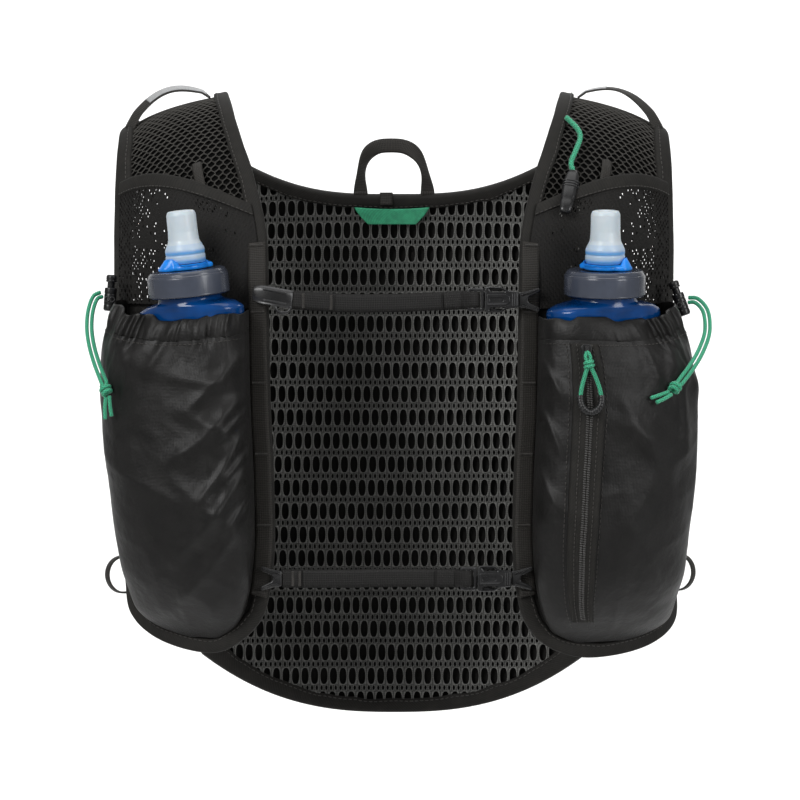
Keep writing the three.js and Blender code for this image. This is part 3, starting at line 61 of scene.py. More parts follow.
FORM_HALF_WIDTH = 170
FORM_SQUARENESS = 2.5
SHOULDER_FALL = 50
WAIST_DRAW = 7
WAIST_DROP = 240
BACK_LENGTH = 436
FRONT_LENGTH = {"left": 386, "right": 389}
NET_THICKNESS = 3
CLOTH_THICKNESS = 1.2
WEBBING_THICKNESS = 1.2
BINDING_WIDTH = 8.6
BACK_SEAM = 90
FLASK_MOUTH = 195
POCKET_SWELL = 50
POCKET_SPLAY = {"left": 38, "right": 46}
POCKET_LEAN = 8
POCKET_ROUND = 2.6
POCKET_WIDTH = 75
HEM_SHARE = 13 / 190
UPPER_HEM = {"inner": 127, "outer": 84}
UPPER_END = 195
RAIL_WIDTH = 10
STRAP_WIDTH = 10.5
STRAP_DOWN = {"upper": 183, "lower": 342}
FLASK = {
    "left": {"across": 115.5, "shift": 5, "lean": 3, "wings": 205},
    "right": {"across": 119.5, "shift": 2.5, "lean": -3, "wings": -35},
}
FLASK_YAW = 22
FLASK_TILT = 8
FLASK_OUT = 26
CAP_RADIUS = 23.2
CAP_HEIGHT = 14.3
CAP_DOWN = 127
LOCK_PLACE = {"left": (-164.8, -69, -135, 4), "right": (168.8, -69, -137.5, 20)}

EDGES = np.array([
    # down, inner, left's down, left, right's down, right
    (-0.233, 0.518, -0.233, 0.776, -0.233, 0.776), (-0.155, 0.559, -0.155, 0.865, -0.155, 0.865),
    (-0.078, 0.576, -0.078, 0.918, -0.078, 0.918), (0, 0.582, 0, 0.947, 0, 0.947),
    (0.104, 0.562, 0.104, 0.95, 0.104, 0.95), (0.212, 0.512, 0.212, 0.95, 0.212, 0.95),
    (0.285, 0.468, 0.285, 0.95, 0.285, 0.95), (0.376, 0.426, 0.376, 0.95, 0.376, 0.95),
    (0.479, 0.419, 0.479, 0.947, 0.479, 0.947), (0.622, 0.413, 0.622, 0.929, 0.622, 0.943),
    (0.751, 0.401, 0.751, 0.918, 0.751, 0.951), (0.847, 0.4, 0.84, 0.915, 0.84, 0.959),
    (0.907, 0.415, 0.905, 0.909, 0.905, 0.964), (0.948, 0.444, 0.95, 0.889, 0.959, 0.957),
    (0.979, 0.506, 0.982, 0.806, 0.987, 0.875),
])
LOWEST = {"left": 0.6, "right": 0.635}
BACK_SIDE = np.array([
    (0, 0.776), (0.1, 0.741), (0.26, 0.718), (0.5, 0.762), (0.75, 0.79), (0.9, 0.788), (0.96, 0.76), (1, 0.694),
])
NECK_DIP, NECK_HALF_WIDTH, NECK_ROUND = 112, 88, 3
HEM_RISE, HEM_ROUND = 36.5, 2.6
POCKET_PROFILE = np.array([
    # fall, swell, splay
    (0, 0.93, 0.45), (0.12, 1, 0.95), (0.25, 1, 1.12), (0.45, 1, 1.05), (0.62, 0.93, 0.95), (0.8, 0.72, 0.85),
    (0.92, 0.42, 0.6), (1, 0.02, 0.5),
])
CORD_ROUTE = {
    "left": [(-169.3, -69.6, -125.4), (-172.2, -71.6, -126.8), (-174.6, -76.6, -133.6), (-175, -84, -144),
             (-173.2, -92, -154), (-169.4, -101, -165), (-164, -111, -177)],
    "right": [(170.6, -69.6, -128.6), (174.6, -71.4, -128.8), (179.4, -77, -134.4), (180, -87, -146.5),
              (176, -97, -157), (169.6, -108.2, -167), (161.8, -118, -176.5)],
}
TAIL_ROUTE = {
    "left": [(-161.8, -114.6, -184.5), (-161.8, -115.6, -190), (-161.2, -116.6, -196.5)],
    "right": [(155.6, -123.6, -182.6), (151.2, -126.8, -184.6), (146, -129.8, -186.6)],
}
WHISTLE_CORD = np.array([(60.5, 99.4), (70.5, 105.3), (76.5, 106.5), (88.5, 103.4), (98, 100.5), (103.5, 101.4)])

# ---------------------------------------------------------------------------------------------------------------
# Form of the wearer that all cloth lies on


def shoulder_arc(depth, height):
    """A quarter ellipse over the shoulder, measured along its length."""
    step = math.pi / 2 / 400
    middle = (np.arange(400) + 0.5) * step
    lengths = np.concatenate([[0], np.cumsum(step * np.hypot(depth * np.cos(middle), height * np.sin(middle)))])
    return depth, height, lengths, np.arange(401) * step


CHEST_ARC = shoulder_arc(98, 110)
BACK_ARC = shoulder_arc(95, 95)


def tape_end(arc, length):
    """How far out and how far down a tape of that length reaches."""
    depth, height, lengths, angles = arc
    below = np.maximum(length - lengths[-1], 0)
    angle = np.interp(length, lengths, angles)
    out = depth * np.sin(angle) - WAIST_DRAW * (below / WAIST_DROP) ** 2
    return out, height * (1 - np.cos(angle)) + below


def form_point(down, across):
    """A point of the form: down is the tape length from the crown, negative on the back."""
    down, across = np.broadcast_arrays(np.asarray(down, float), np.asarray(across, float))
    length = np.abs(down)
    share = np.minimum(0.9999, np.abs(across) / FORM_HALF_WIDTH)
    rounded = 1 - (1 - share ** FORM_SQUARENESS) ** (1 / FORM_SQUARENESS)
    found = []
    for arc, facing in ((CHEST_ARC, -1), (BACK_ARC, 1)):
        out_a, drop_a = tape_end(arc, np.maximum(0, length - 0.5))
        out_b, drop_b = tape_end(arc, length + 0.5)
        out, drop = tape_end(arc, length)
        run = np.hypot(out_b - out_a, drop_b - drop_a)
        steep, level = (drop_b - drop_a) / run, (out_b - out_a) / run
        inward = rounded * (SHOULDER_FALL + (arc[0] - SHOULDER_FALL) * steep ** 2)
        found.append(np.stack([across, facing * (out - steep * inward), -(drop + level * inward)], -1))
    return np.where((down >= 0)[..., None], found[0], found[1])


def unit(v):
    return v / np.maximum(np.linalg.norm(v, axis=-1, keepdims=True), 1e-9)


def eased(share):
    """A share from 0 to 1 with a smooth start and end."""
    return share * share * (3 - 2 * share)


def run_of(line):
    """The length along a line up to each of its points."""
    return np.concatenate([[0], np.cumsum(np.linalg.norm(np.diff(line, axis=0), axis=1))])


def at_lengths(wanted, lengths, values):
    """The columns of values, read at the wanted lengths."""
    return np.stack([np.interp(wanted, lengths, values[:, k]) for k in range(values.shape[1])], -1)


def squarish(wave, power):
    """A sine or cosine that a power below 1 draws towards a square."""
    return np.sign(wave) * np.abs(wave) ** power


def form_normal(down, across):
    down, across = np.broadcast_arrays(np.asarray(down, float), np.asarray(across, float))
    shift = np.where((down >= 0) & (down < 0.6), 0.6, 0)
    tape = form_point(down + 0.6 + shift, across) - form_point(down - 0.6 + shift, across)
    return unit(np.cross(tape, form_point(down, across + 0.6) - form_point(down, across - 0.6)))


def on_form(down, across, lift=0.0):
    return form_point(down, across) + form_normal(down, across) * np.asarray(lift, float)[..., None]


def chest_down(drop):
    """Tape length down the chest to a height below the crown, on the upright part."""
    return CHEST_ARC[2][-1] + drop - CHEST_ARC[1]


def between(table, value, column):
    """A table's column at a value of its first one, joined smoothly."""
    i = np.clip(np.searchsorted(table[:, 0], value) - 1, 0, len(table) - 2)
    share = eased(np.clip((value - table[i, 0]) / (table[i + 1, 0] - table[i, 0]), 0, 1))
    return table[i, column] + (table[i + 1, column] - table[i, column]) * share


def spline(points, t):
    """Centripetal curve through the points, at shares t of their number."""
    points = np.asarray(points, float)
    padded = np.vstack([2 * points[0] - points[1], points, 2 * points[-1] - points[-2]])
    t = np.asarray(t, float) * (len(points) - 1)
    i = np.minimum(np.floor(t).astype(int), len(points) - 2)
    w = (t - i)[:, None]
    p0, p1, p2, p3 = (padded[i + k] for k in range(4))
    d0, d1, d2 = (np.sqrt(np.linalg.norm(b - a, axis=1, keepdims=True)) for a, b in ((p0, p1), (p1, p2), (p2, p3)))
    t1 = ((p1 - p0) / d0 - (p2 - p0) / (d0 + d1) + (p2 - p1) / d1) * d1
    t2 = ((p2 - p1) / d1 - (p3 - p1) / (d1 + d2) + (p3 - p2) / d2) * d1
    return p1 + t1 * w + (-3 * p1 + 3 * p2 - 2 * t1 - t2) * w ** 2 + (2 * p1 - 2 * p2 + t1 + t2) * w ** 3


def resampled(points, count):
    """The same line with evenly spaced points."""
    points = np.asarray(points, float)
    lengths = run_of(points)
    return at_lengths(np.linspace(0, lengths[-1], count), lengths, points)


def wrinkle(x, y, size, seed):
    """Smooth random heights from -1 to 1 whose bumps are about that size."""
    lattice = np.random.default_rng(seed).uniform(-1, 1, (61, 61))
    gx, gy = x / size + 200, y / size + 200
    i, j = np.floor(gx).astype(int), np.floor(gy).astype(int)
    fx, fy = gx - i, gy - j
    fx, fy = (f * f * f * (f * (f * 6 - 15) + 10) for f in (fx, fy))
    a, b = lattice[i % 61, j % 61], lattice[(i + 1) % 61, j % 61]
    c, d = lattice[i % 61, (j + 1) % 61], lattice[(i + 1) % 61, (j + 1) % 61]
    return (a * (1 - fx) + b * fx) * (1 - fy) + (c * (1 - fx) + d * fx) * fy


# Outlines of each strap with its front panel

OUTLINE_STEPS = 400


def panel_outline(side):
    columns = (2, 3) if side == "left" else (4, 5)
    inner = EDGES[:, :2].copy()
    outer = EDGES[::-1][:, columns].copy()
    corners = np.vstack([inner, [1, LOWEST[side]], outer]) * (FRONT_LENGTH[side], FORM_HALF_WIDTH)
    corners[0, 0] = corners[-1, 0] = -BACK_SEAM
    return spline(corners, np.linspace(0, 1, OUTLINE_STEPS + 1))


OUTLINE = {side: panel_outline(side) for side in SIDES}


def inset(side, distance):
    """The outline moved inwards. distance is one number, or one for each point."""
    line = OUTLINE[side]
    run = np.gradient(line, axis=0)
    run /= np.linalg.norm(run, axis=1, keepdims=True)
    return line + np.stack([-run[:, 1], run[:, 0]], -1) * np.reshape(distance, (-1, 1))


def branches(side, distance):
    """The inner and the outer edge, each from the back seam to the lowest point."""
    line = inset(side, distance)
    half = OUTLINE_STEPS // 2
    return line[: half + 1], line[half:][::-1]


def edge_across(side, which, down, distance=0):
    """How far across the inner or outer edge lies at a tape length."""
    line = branches(side, distance)[0 if which == "inner" else 1]
    order = np.maximum.accumulate(line[:, 0])
    return np.interp(down, order, line[:, 1])


def back_half_width(fall):
    return between(BACK_SIDE, fall, 1) * FORM_HALF_WIDTH


def neckline(across):
    return NECK_DIP - (NECK_DIP - BACK_SEAM) * np.minimum(1, np.abs(across) / NECK_HALF_WIDTH) ** NECK_ROUND


def back_place(fall, wide, edge):
    """Tape length and across of a place on the back panel, which lies edge inside its outline."""
    across = wide * (back_half_width(fall) - edge)
    bound = np.abs(wide) * (back_half_width(np.zeros_like(fall)) - edge) < NECK_HALF_WIDTH
    top = neckline(across) + np.where(bound, edge, 0.3)
    hem = BACK_LENGTH - edge - HEM_RISE * np.abs(wide) ** HEM_ROUND
    return top + (hem - top) * fall, across


# Pockets

POCKET_FOLDS = {
    # fall, wide, degrees from level, length, breadth and height as shares of the pocket's width
    "left": [
        (0.1, 0.42, 62, 0.3, 0.05, -0.014), (0.2, 0.25, 18, 0.3, 0.05, 0.026), (0.34, 0.22, 38, 0.34, 0.05, 0.026),
        (0.45, 0.2, 45, 0.3, 0.05, -0.013), (0.6, 0.26, 55, 0.45, 0.06, 0.03), (0.75, 0.3, 58, 0.4, 0.06, -0.015),
        (0.3, 0.7, 70, 0.5, 0.09, -0.01),
    ],
    "right": [
        (0.22, 0.16, -50, 0.3, 0.05, 0.024), (0.4, 0.14, -48, 0.32, 0.05, -0.012), (0.56, 0.15, -50, 0.3, 0.05, 0.024),
        (0.35, 0.52, -42, 0.26, 0.06, 0.024), (0.45, 0.78, -70, 0.5, 0.07, -0.015), (0.22, 0.86, -55, 0.3, 0.06, 0.03),
    ],
}


def fold_height(side, fall, wide, length):
    height = 0
    for at_fall, at_wide, turn, long, broad, high in POCKET_FOLDS[side]:
        x, z = (wide - at_wide) * POCKET_WIDTH, (at_fall - fall) * length
        c, s = math.cos(math.radians(turn)), math.sin(math.radians(turn))
        along = (x * c + z * s) / (long * POCKET_WIDTH)
        aside = (-x * s + z * c) / (broad * POCKET_WIDTH)
        height = height + high * POCKET_WIDTH * np.exp(-along * along * 2 - aside * aside)
    return height


def rounded_off(table, column):
    """A table's column on even steps from 0 to 1, with its corners rounded off."""
    steps = np.linspace(-0.2, 1.2, 281)
    at, values = table[:, 0], table[:, column]
    line = np.interp(steps, at, values)
    line += np.minimum(steps, 0) * (values[1] - values[0]) / (at[1] - at[0])
    line += np.maximum(steps - 1, 0) * (values[-1] - values[-2]) / (at[-1] - at[-2])
    window = np.hanning(39)
    return steps, np.convolve(line, window / window.sum(), "same")


POCKET_SWELLING, POCKET_TURN = rounded_off(POCKET_PROFILE, 1), rounded_off(POCKET_PROFILE, 2)


POCKET_EDGE = 8.4  # from a panel's edge to its flask pocket, under the binding


def mouth_down(side, wide):
    inner, outer = (6, 13) if side == "left" else (2, 12)
    return FLASK_MOUTH - np.where(wide < 0.5, inner, outer) * np.abs(2 * wide - 1) ** 2


def pocket_place(side, fall, wide, lift, relief=None):
    """A place on a flask pocket. relief adds height to it where the pocket stands off the panel."""
    fall, wide = np.broadcast_arrays(np.asarray(fall, float), np.asarray(wide, float))
    top = mouth_down(side, wide)
    bottom = OUTLINE[side][OUTLINE_STEPS // 2, 0] - 8.1 - 1
    down = top + (bottom - top) * fall
    beside_rail = edge_across(side, "inner", down) + RAIL_WIDTH + 1.5
    inner = np.maximum(beside_rail, edge_across(side, "inner", down, POCKET_EDGE))
    outer = edge_across(side, "outer", down, POCKET_EDGE)
    across = inner + (outer - inner) * wide
    arch = (1 - np.abs(2 * wide - 1) ** POCKET_ROUND) ** (1 / POCKET_ROUND)
    swell = np.interp(fall, *POCKET_SWELLING) * POCKET_SWELL
    folds = fold_height(side, fall, wide, bottom - top) * arch * np.minimum(1, swell / 20)
    height = swell * arch * np.sqrt(np.minimum(1, (outer - inner) / POCKET_WIDTH)) + folds
    if relief is not None:
        height = height + relief * np.minimum(1, swell / 20)
    splay = np.interp(fall, *POCKET_TURN) * POCKET_SPLAY[side]
    turn = np.radians(-POCKET_LEAN + (splay + POCKET_LEAN) * wide)
    base = on_form(down, SIGN[side] * across, NET_THICKNESS + 1 + lift)
    way = np.stack([SIGN[side] * np.sin(turn), -np.cos(turn), np.zeros_like(turn)], -1)
    return base + way * height[..., None]


def upper_place(side, fall, wide, lift):
    """A place on an upper pocket, fall 0 at its hem."""
    fall, wide = np.broadcast_arrays(np.asarray(fall, float), np.asarray(wide, float))
    top = UPPER_HEM["inner"] + (UPPER_HEM["outer"] - UPPER_HEM["inner"]) * wide
    down = top + (UPPER_END - top) * fall
    inner = edge_across(side, "inner", down, 5)
    outer = edge_across(side, "outer", down, 5)
    fade = np.cos(math.pi / 2 * np.clip(fall * 1.15, 0, 1))
    gape = 8 * np.abs(np.sin(math.pi * wide)) ** 1.2 * fade
    return on_form(down, SIGN[side] * (inner + (outer - inner) * wide), NET_THICKNESS + 1 + gape + lift)


# ---------------------------------------------------------------------------------------------------------------
# Mesh makers


class Shape:
    """Points and faces of one piece as it is put together, in millimetres."""

    def __init__(self):
        self.points, self.faces, self.uvs, self.finish, self.marks, self.count = [], [], [], [], [], 0

    def add(self, points, faces, uv=None, finish=0, mark=0.0):
        """faces is an array of three or four columns, or a list of such arrays."""
        points = np.asarray(points, float)
        flat = points.reshape(-1, 3)
        uv = flat[:, :2] if uv is None else np.asarray(uv, float).reshape(-1, 2)
        for part in faces if isinstance(faces, list) else [faces]:
            self.faces.append(np.asarray(part, int) + self.count)
            self.finish.append(np.full(len(part), finish))
        self.points.append(flat)
        self.uvs.append(uv)
        self.marks.append(np.broadcast_to(np.asarray(mark, float), points.shape[:-1]).reshape(-1))
        self.count += len(flat)
        return self

    def piece(self, name, *finishes, body="vest", replaces=None):
        """Makes the object, puts it on its body and hides the CAD node that it stands for."""
        mesh = bpy.data.meshes.new(name)
        points, uvs, marks = np.vstack(self.points) * MM, np.vstack(self.uvs), np.concatenate(self.marks)
        sizes = np.concatenate([np.full(len(f), f.shape[1]) for f in self.faces])
        loops = np.concatenate([f.ravel() for f in self.faces])
        mesh.vertices.add(len(points))
        mesh.vertices.foreach_set("co", points.astype(np.float32).ravel())
        mesh.loops.add(len(loops))
        mesh.loops.foreach_set("vertex_index", loops.astype(np.int32))
        mesh.polygons.add(len(sizes))
        starts = np.concatenate([[0], np.cumsum(sizes)[:-1]])
        mesh.polygons.foreach_set("loop_start", starts.astype(np.int32))
        mesh.update(calc_edges=True)
        mesh.polygons.foreach_set("material_index", np.concatenate(self.finish).astype(np.int32))
        mesh.polygons.foreach_set("use_smooth", np.full(len(sizes), True))
        layer = mesh.uv_layers.new(name="cloth_mm")
        layer.data.foreach_set("uv", uvs[loops].astype(np.float32).ravel())
        # the relief attribute carries painted light and shade for the spacer mesh and the nets, and the blue tint of
        # the bite valves
        mark = mesh.attributes.new("relief", "FLOAT", "POINT")
        mark.data.foreach_set("value", marks.astype(np.float32))
        mesh.validate()
        facing = bmesh.new()
        facing.from_mesh(mesh)
        bmesh.ops.recalc_face_normals(facing, faces=facing.faces)
        facing.to_mesh(mesh)
        facing.free()
        for finish in finishes:
            mesh.materials.append(material(finish))
        made = bpy.data.objects.new(name, mesh)
        bpy.context.scene.collection.objects.link(made)
        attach(made, body)
        if replaces:
            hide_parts(replaces)
        return made


def grid_faces(rows, columns, wrap=False):
    """Quads of a grid of points. wrap closes it round its columns."""
    i, j = np.meshgrid(np.arange(rows - 1), np.arange(columns if wrap else columns - 1), indexing="ij")
    k = (j + 1) % columns
    return np.stack([i * columns + j, (i + 1) * columns + j, (i + 1) * columns + k, i * columns + k], -1).reshape(-1, 4)


def lengths_uv(points):
    """Millimetres along the rows and columns of a grid of points, measured over the surface."""
    along = np.linalg.norm(np.diff(points, axis=0), axis=-1).mean(1)
    across = np.linalg.norm(np.diff(points, axis=1), axis=-1).mean(0)
    u = np.concatenate([[0], np.cumsum(across)])
    v = np.concatenate([[0], np.cumsum(along)])
    return np.stack(np.broadcast_arrays(u[None, :], v[:, None]), -1)


def closed_rings(rows, sides, way=1):
    """Faces of a row of rings. The two points that close its ends follow the rings' own points."""
    n = rows * sides
    j = np.arange(sides)
    k = (j + 1) % sides
    fans = np.stack([n + 0 * j, j, k], -1), np.stack([n + 1 + 0 * j, n - sides + k, n - sides + j], -1)
    return [part[:, ::way] for part in (grid_faces(rows, sides, wrap=True), *fans)]


def add_tape(shape, rings, around, along):
    """Tape with a closed section: rings of points, and how far each lies round the section and along the tape."""
    count, size = rings.shape[:2]
    first = np.arange(size)[None]
    uv = np.stack(np.broadcast_arrays(around[None, :], along[:, None]), -1)
    shape.add(rings, [grid_faces(count, size, wrap=True), first[:, ::-1], first + (count - 1) * size], uv)


def add_sheet(shape, outside, inside, finish=0, mark=0.0):
    """A sheet of cloth from its two faces, given as grids of points, with closed edges."""
    rows, columns = outside.shape[:2]
    n = rows * columns
    front = grid_faces(rows, columns)
    rim = np.concatenate([
        np.arange(columns), columns * np.arange(1, rows) + columns - 1,
        n - 2 - np.arange(columns - 1), columns * np.arange(rows - 2, 0, -1),
    ])
    following = np.roll(rim, -1)
    edge = np.stack([rim, following, following + n, rim + n], -1)
    uv = lengths_uv(outside)
    marks = np.broadcast_to(np.asarray(mark, float), (rows, columns))
    shape.add(np.stack([outside, inside]), [front, front[:, ::-1] + n, edge], np.stack([uv, uv]), finish,
              np.stack([marks, marks]))


def cloth(place, rows, columns, thickness):
    """Two faces of a sheet. place(fall, wide, lift) gives points for grids from 0 to 1."""
    fall, wide = np.meshgrid(rows, columns, indexing="ij")
    return place(fall, wide, np.full(fall.shape, float(thickness))), place(fall, wide, np.zeros(fall.shape))


def add_ribbon(shape, left, right, thickness, finish=0, crown=0.15, spans=6):
    """Flat webbing between two edge lines, with rounded selvages."""
    left, right = np.asarray(left, float), np.asarray(right, float)
    wide = right - left
    middle = (left + right) / 2
    along = unit(np.gradient(middle, axis=0))
    side = unit(wide - along * (wide * along).sum(-1, keepdims=True))
    up = np.cross(along, side)
    half = np.linalg.norm(wide, axis=-1, keepdims=True) / 2
    s = np.linspace(-1, 1, spans + 1)
    top = np.stack([s, 0.5 - crown * s ** 4 - 0.2 * (np.abs(s) > 0.99)], -1)
    section = np.vstack([top, (top * (1, -1))[::-1]])
    rings = (middle[:, None] + side[:, None] * (half[:, None] * section[None, :, :1])
             + up[:, None] * (section[None, :, 1:] * thickness))
    run = run_of(middle)
    u = np.broadcast_to(section[None, :, 0] * half, rings.shape[:2])
    v = np.broadcast_to(run[:, None], rings.shape[:2])
    count = len(section)
    last = (len(middle) - 1) * count
    ends = [np.array([[j, j + 1, count - 2 - j, count - 1 - j] for j in range(spans)]),
            np.array([[last + j, last + count - 1 - j, last + count - 2 - j, last + j + 1] for j in range(spans)])]
    shape.add(rings, [grid_faces(len(middle), count, wrap=True)[:, ::-1], *ends], np.stack([u, v], -1), finish)


def frames_along(line):
    """Two directions across a line at each of its points, without twist."""
    tangent = unit(np.gradient(line, axis=0))
    first = np.cross(tangent[0], (0, 0, 1) if abs(tangent[0][2]) < 0.9 else (1, 0, 0))
    sides = [first / np.linalg.norm(first)]
    for t in tangent[1:]:
        s = sides[-1] - t * np.dot(sides[-1], t)
        sides.append(s / np.linalg.norm(s))
    sides = np.array(sides)
    return sides, np.cross(tangent, sides)


def add_tube(shape, line, radius, sides=12, finish=0, bump=None):
    """A round cord along a line. radius is one number or one for each point."""
    line = np.asarray(line, float)
    a, b = frames_along(line)
    radius = np.broadcast_to(np.asarray(radius, float), len(line))[:, None]
    angle = np.linspace(0, 2 * math.pi, sides, endpoint=False)[None, :]
    run = run_of(line)[:, None]
    if bump is not None:
        radius = radius * bump(run, angle)
    else:
        radius = radius * np.ones_like(angle)
    rings = (line[:, None] + a[:, None] * (radius * np.cos(angle))[..., None]
             + b[:, None] * (radius * np.sin(angle))[..., None])
    uv = np.stack(np.broadcast_arrays(angle / (2 * math.pi) * 2 * math.pi * radius.mean(), run), -1)
    points = np.vstack([rings.reshape(-1, 3), line[0], line[-1]])
    shape.add(points, closed_rings(len(line), sides, -1), np.vstack([uv.reshape(-1, 2), [0, 0], [0, run[-1, 0]]]),
              finish)


def braid(pitch, strands, depth):
    """How the surface of a braided cord rises and falls round it and along it."""
    def bump(run, angle):
        over = np.sin(2 * math.pi * run / pitch + strands * angle) * np.sin(2 * math.pi * run / pitch - strands * angle)
        return 1 + depth * over
    return bump


def add_lathe(shape, profile, place, segments=48, finish=0, radial=None, tint=None):
    """A turned piece from pairs of radius and height. place takes points from its own axes to the vest's."""
    profile = np.asarray(profile, float)
    angle = np.linspace(0, 2 * math.pi, segments, endpoint=False)
    r = profile[:, :1] * np.ones_like(angle)[None, :]
    if radial is not None:
        r = r * radial(profile[:, 1:2], angle[None, :])
    own = np.stack(np.broadcast_arrays(r * np.cos(angle), r * np.sin(angle), profile[:, 1:2]), -1)
    uv = np.stack(np.broadcast_arrays(angle[None, :] * profile[:, 0].max(), profile[:, 1:2]), -1)
    marks = np.zeros(own.shape[:2]) if tint is None else tint(own[..., 2])
    shape.add(place(own), grid_faces(len(profile), segments, wrap=True), uv, finish, marks)


def rounded(profile, radius=0.5, steps=3):
    """A turned profile whose inner corners are rounded."""
    profile = [np.array(p, float) for p in profile]
    made = [profile[0]]
    for before, here, after in zip(profile, profile[1:], profile[2:]):
        a, b = before - here, after - here
        reach = min(radius, np.linalg.norm(a) / 2.2, np.linalg.norm(b) / 2.2)
        start, end = here + a / np.linalg.norm(a) * reach, here + b / np.linalg.norm(b) * reach
        for k in range(steps + 1):
            t = k / steps
            made.append((1 - t) ** 2 * start + 2 * t * (1 - t) * here + t * t * end)
    made.append(profile[-1])
    return np.array(made)


def add_stitches(shape, middles, along, normal, length=2.2, width=0.55, height=0.4, finish=0):
    """Short threads that lie on cloth, one at each middle."""
    middles, along, normal = np.asarray(middles, float), unit(np.asarray(along, float)), unit(np.asarray(normal, float))
    side = np.cross(along, normal)
    rings = np.array([(-0.5, 0.3, -0.6), (-0.32, 1, 0.1), (0.32, 1, 0.1), (0.5, 0.3, -0.6)])
    corners = np.array([(-0.5, 0), (-0.3, 0.8), (0.3, 0.8), (0.5, 0)])
    t, scale, sink = rings[:, 0], rings[:, 1], rings[:, 2]
    points = (middles[:, None, None] + along[:, None, None] * (t[None, :, None, None] * length)
              + side[:, None, None] * (corners[None, None, :, :1] * scale[None, :, None, None] * width)
              + normal[:, None, None] * ((corners[None, None, :, 1:] * scale[None, :, None, None]
                                          + np.minimum(sink, 0)[None, :, None, None] * 0.5) * height))
    one = grid_faces(4, 4)
    faces = (one[None] + np.arange(len(middles))[:, None, None] * 16).reshape(-1, 4)
    shape.add(points, faces, np.zeros((len(middles) * 16, 2)), finish)


def stitch_line(shape, line, normal, spacing=3.2, finish=0, **sizes):
    """Evenly spaced stitches along a line on cloth."""
    line, normal = np.asarray(line, float), np.asarray(normal, float)
    lengths = run_of(line)
    wanted = np.arange(spacing / 2, lengths[-1], spacing)
    along = at_lengths(wanted + 0.5, lengths, line) - at_lengths(wanted - 0.5, lengths, line)
    middles, up = at_lengths(wanted, lengths, line), at_lengths(wanted, lengths, normal)
    add_stitches(shape, middles, along, up, finish=finish, **sizes)


def stitch_cloth(shape, place, u, v, lift, high, spacing, finish=0, **sizes):
    """Stitches at one lift over a placed cloth. They face the same places at a higher lift."""
    u, v = np.broadcast_arrays(u, v)
    line = place(u, v, np.full(u.shape, lift))
    stitch_line(shape, line, unit(place(u, v, np.full(u.shape, high)) - line), spacing, finish, **sizes)


def add_moulding(shape, outline, holes, low, high, place, bevel=0.5, finish=0):
    """A flat moulding with rounded edges: outline and holes are pairs, low and high its two heights."""
    curve = bpy.data.curves.new("outline", "CURVE")
    curve.dimensions, curve.fill_mode = "2D", "BOTH"
    curve.extrude = (high - low) / 2 - bevel
    curve.bevel_depth, curve.bevel_resolution, curve.offset = bevel, 2, -bevel
    for line in [outline, *holes]:
        part = curve.splines.new("POLY")
        part.points.add(len(line) - 1)
        part.points.foreach_set("co", np.array([(x, y, 0, 1) for x, y in line], float).ravel())
        part.use_cyclic_u = True
    holder = bpy.data.objects.new("outline", curve)
    bpy.context.scene.collection.objects.link(holder)
    mesh = bpy.data.meshes.new_from_object(holder.evaluated_get(bpy.context.evaluated_depsgraph_get()))
    bpy.data.objects.remove(holder)
    points = np.zeros(len(mesh.vertices) * 3)
    mesh.vertices.foreach_get("co", points)
    points = points.reshape(-1, 3) + (0, 0, (low + high) / 2)
    faces = [np.array([list(p.vertices) for p in mesh.polygons if len(p.vertices) == n]) for n in (3, 4)]
    bpy.data.meshes.remove(mesh)
    shape.add(place(points), [f for f in faces if len(f)], points[:, :2], finish)


def round_corners(outline, radius=1.0, steps=3):
    """A closed outline whose corners are rounded."""
    corners = [np.array(p, float) for p in outline]
    made = []
    for i, here in enumerate(corners):
        before, after = corners[i - 1], corners[(i + 1) % len(corners)]
        a, b = before - here, after - here
        reach = min(radius, np.linalg.norm(a) / 2.1, np.linalg.norm(b) / 2.1)
        start, end = here + a / np.linalg.norm(a) * reach, here + b / np.linalg.norm(b) * reach
        for k in range(steps + 1):
            t = k / steps
            made.append(tuple((1 - t) ** 2 * start + 2 * t * (1 - t) * here + t * t * end))
    return made


# Cells of a net: rings of points round a hole, the first on the cell's own border

BOX_RING = np.array([(1, 0), (1, 0.5), (1, 1), (0.35, 1), (-0.35, 1), (-1, 1), (-1, 0.5), (-1, 0), (-1, -0.5), (-1, -1),
                     (-0.35, -1), (0.35, -1), (1, -1), (1, -0.5)])
HEX_RING = np.array([(1, 0.34), (0, 1), (-1, 0.34), (-1, -0.34), (0, -1), (1, -0.34)])


def add_cells(shape, centres, rings, heights, marks, place, finish=0):
    """Cells round every centre. rings are arrays of pairs, place(points, height) lays them on the form."""
    sides = len(rings[0])
    flat = centres[:, None, None, :] + np.stack(rings)[None]
    high = np.broadcast_to(np.asarray(heights, float)[None, :, None], flat.shape[:3])
    mark = np.broadcast_to(np.asarray(marks, float)[None, :, None], flat.shape[:3])
    points = place(flat, high)
    one = grid_faces(len(rings), sides, wrap=True)
    faces = (one[None] + (np.arange(len(centres)) * len(rings) * sides)[:, None, None]).reshape(-1, 4)
    corners = points.reshape(-1, 3)[faces]
    area = np.linalg.norm(np.cross(corners[:, 2] - corners[:, 0], corners[:, 3] - corners[:, 1]), axis=1)
    shape.add(points, faces[area > 0.02], flat, finish, mark)


def oval(wide, tall, sides, point=1.0):
    """A ring of an oval hole. A point below 1 draws its ends to a blunt tip."""
    angle = np.linspace(0, 2 * math.pi, sides, endpoint=False)
    c, s = np.cos(angle), np.sin(angle)
    return np.stack([wide / 2 * squarish(c, 1 / point), tall / 2 * s], -1)


# ---------------------------------------------------------------------------------------------------------------
# Materials


def linear(hex_colour, alpha=True):
    """An sRGB hex colour as the linear values that shaders use."""
    values = [int(hex_colour[i:i + 2], 16) / 255 for i in (1, 3, 5)]
    values = [v / 12.92 if v <= 0.04045 else ((v + 0.055) / 1.055) ** 2.4 for v in values]
    return (*values, 1.0) if alpha else tuple(values)


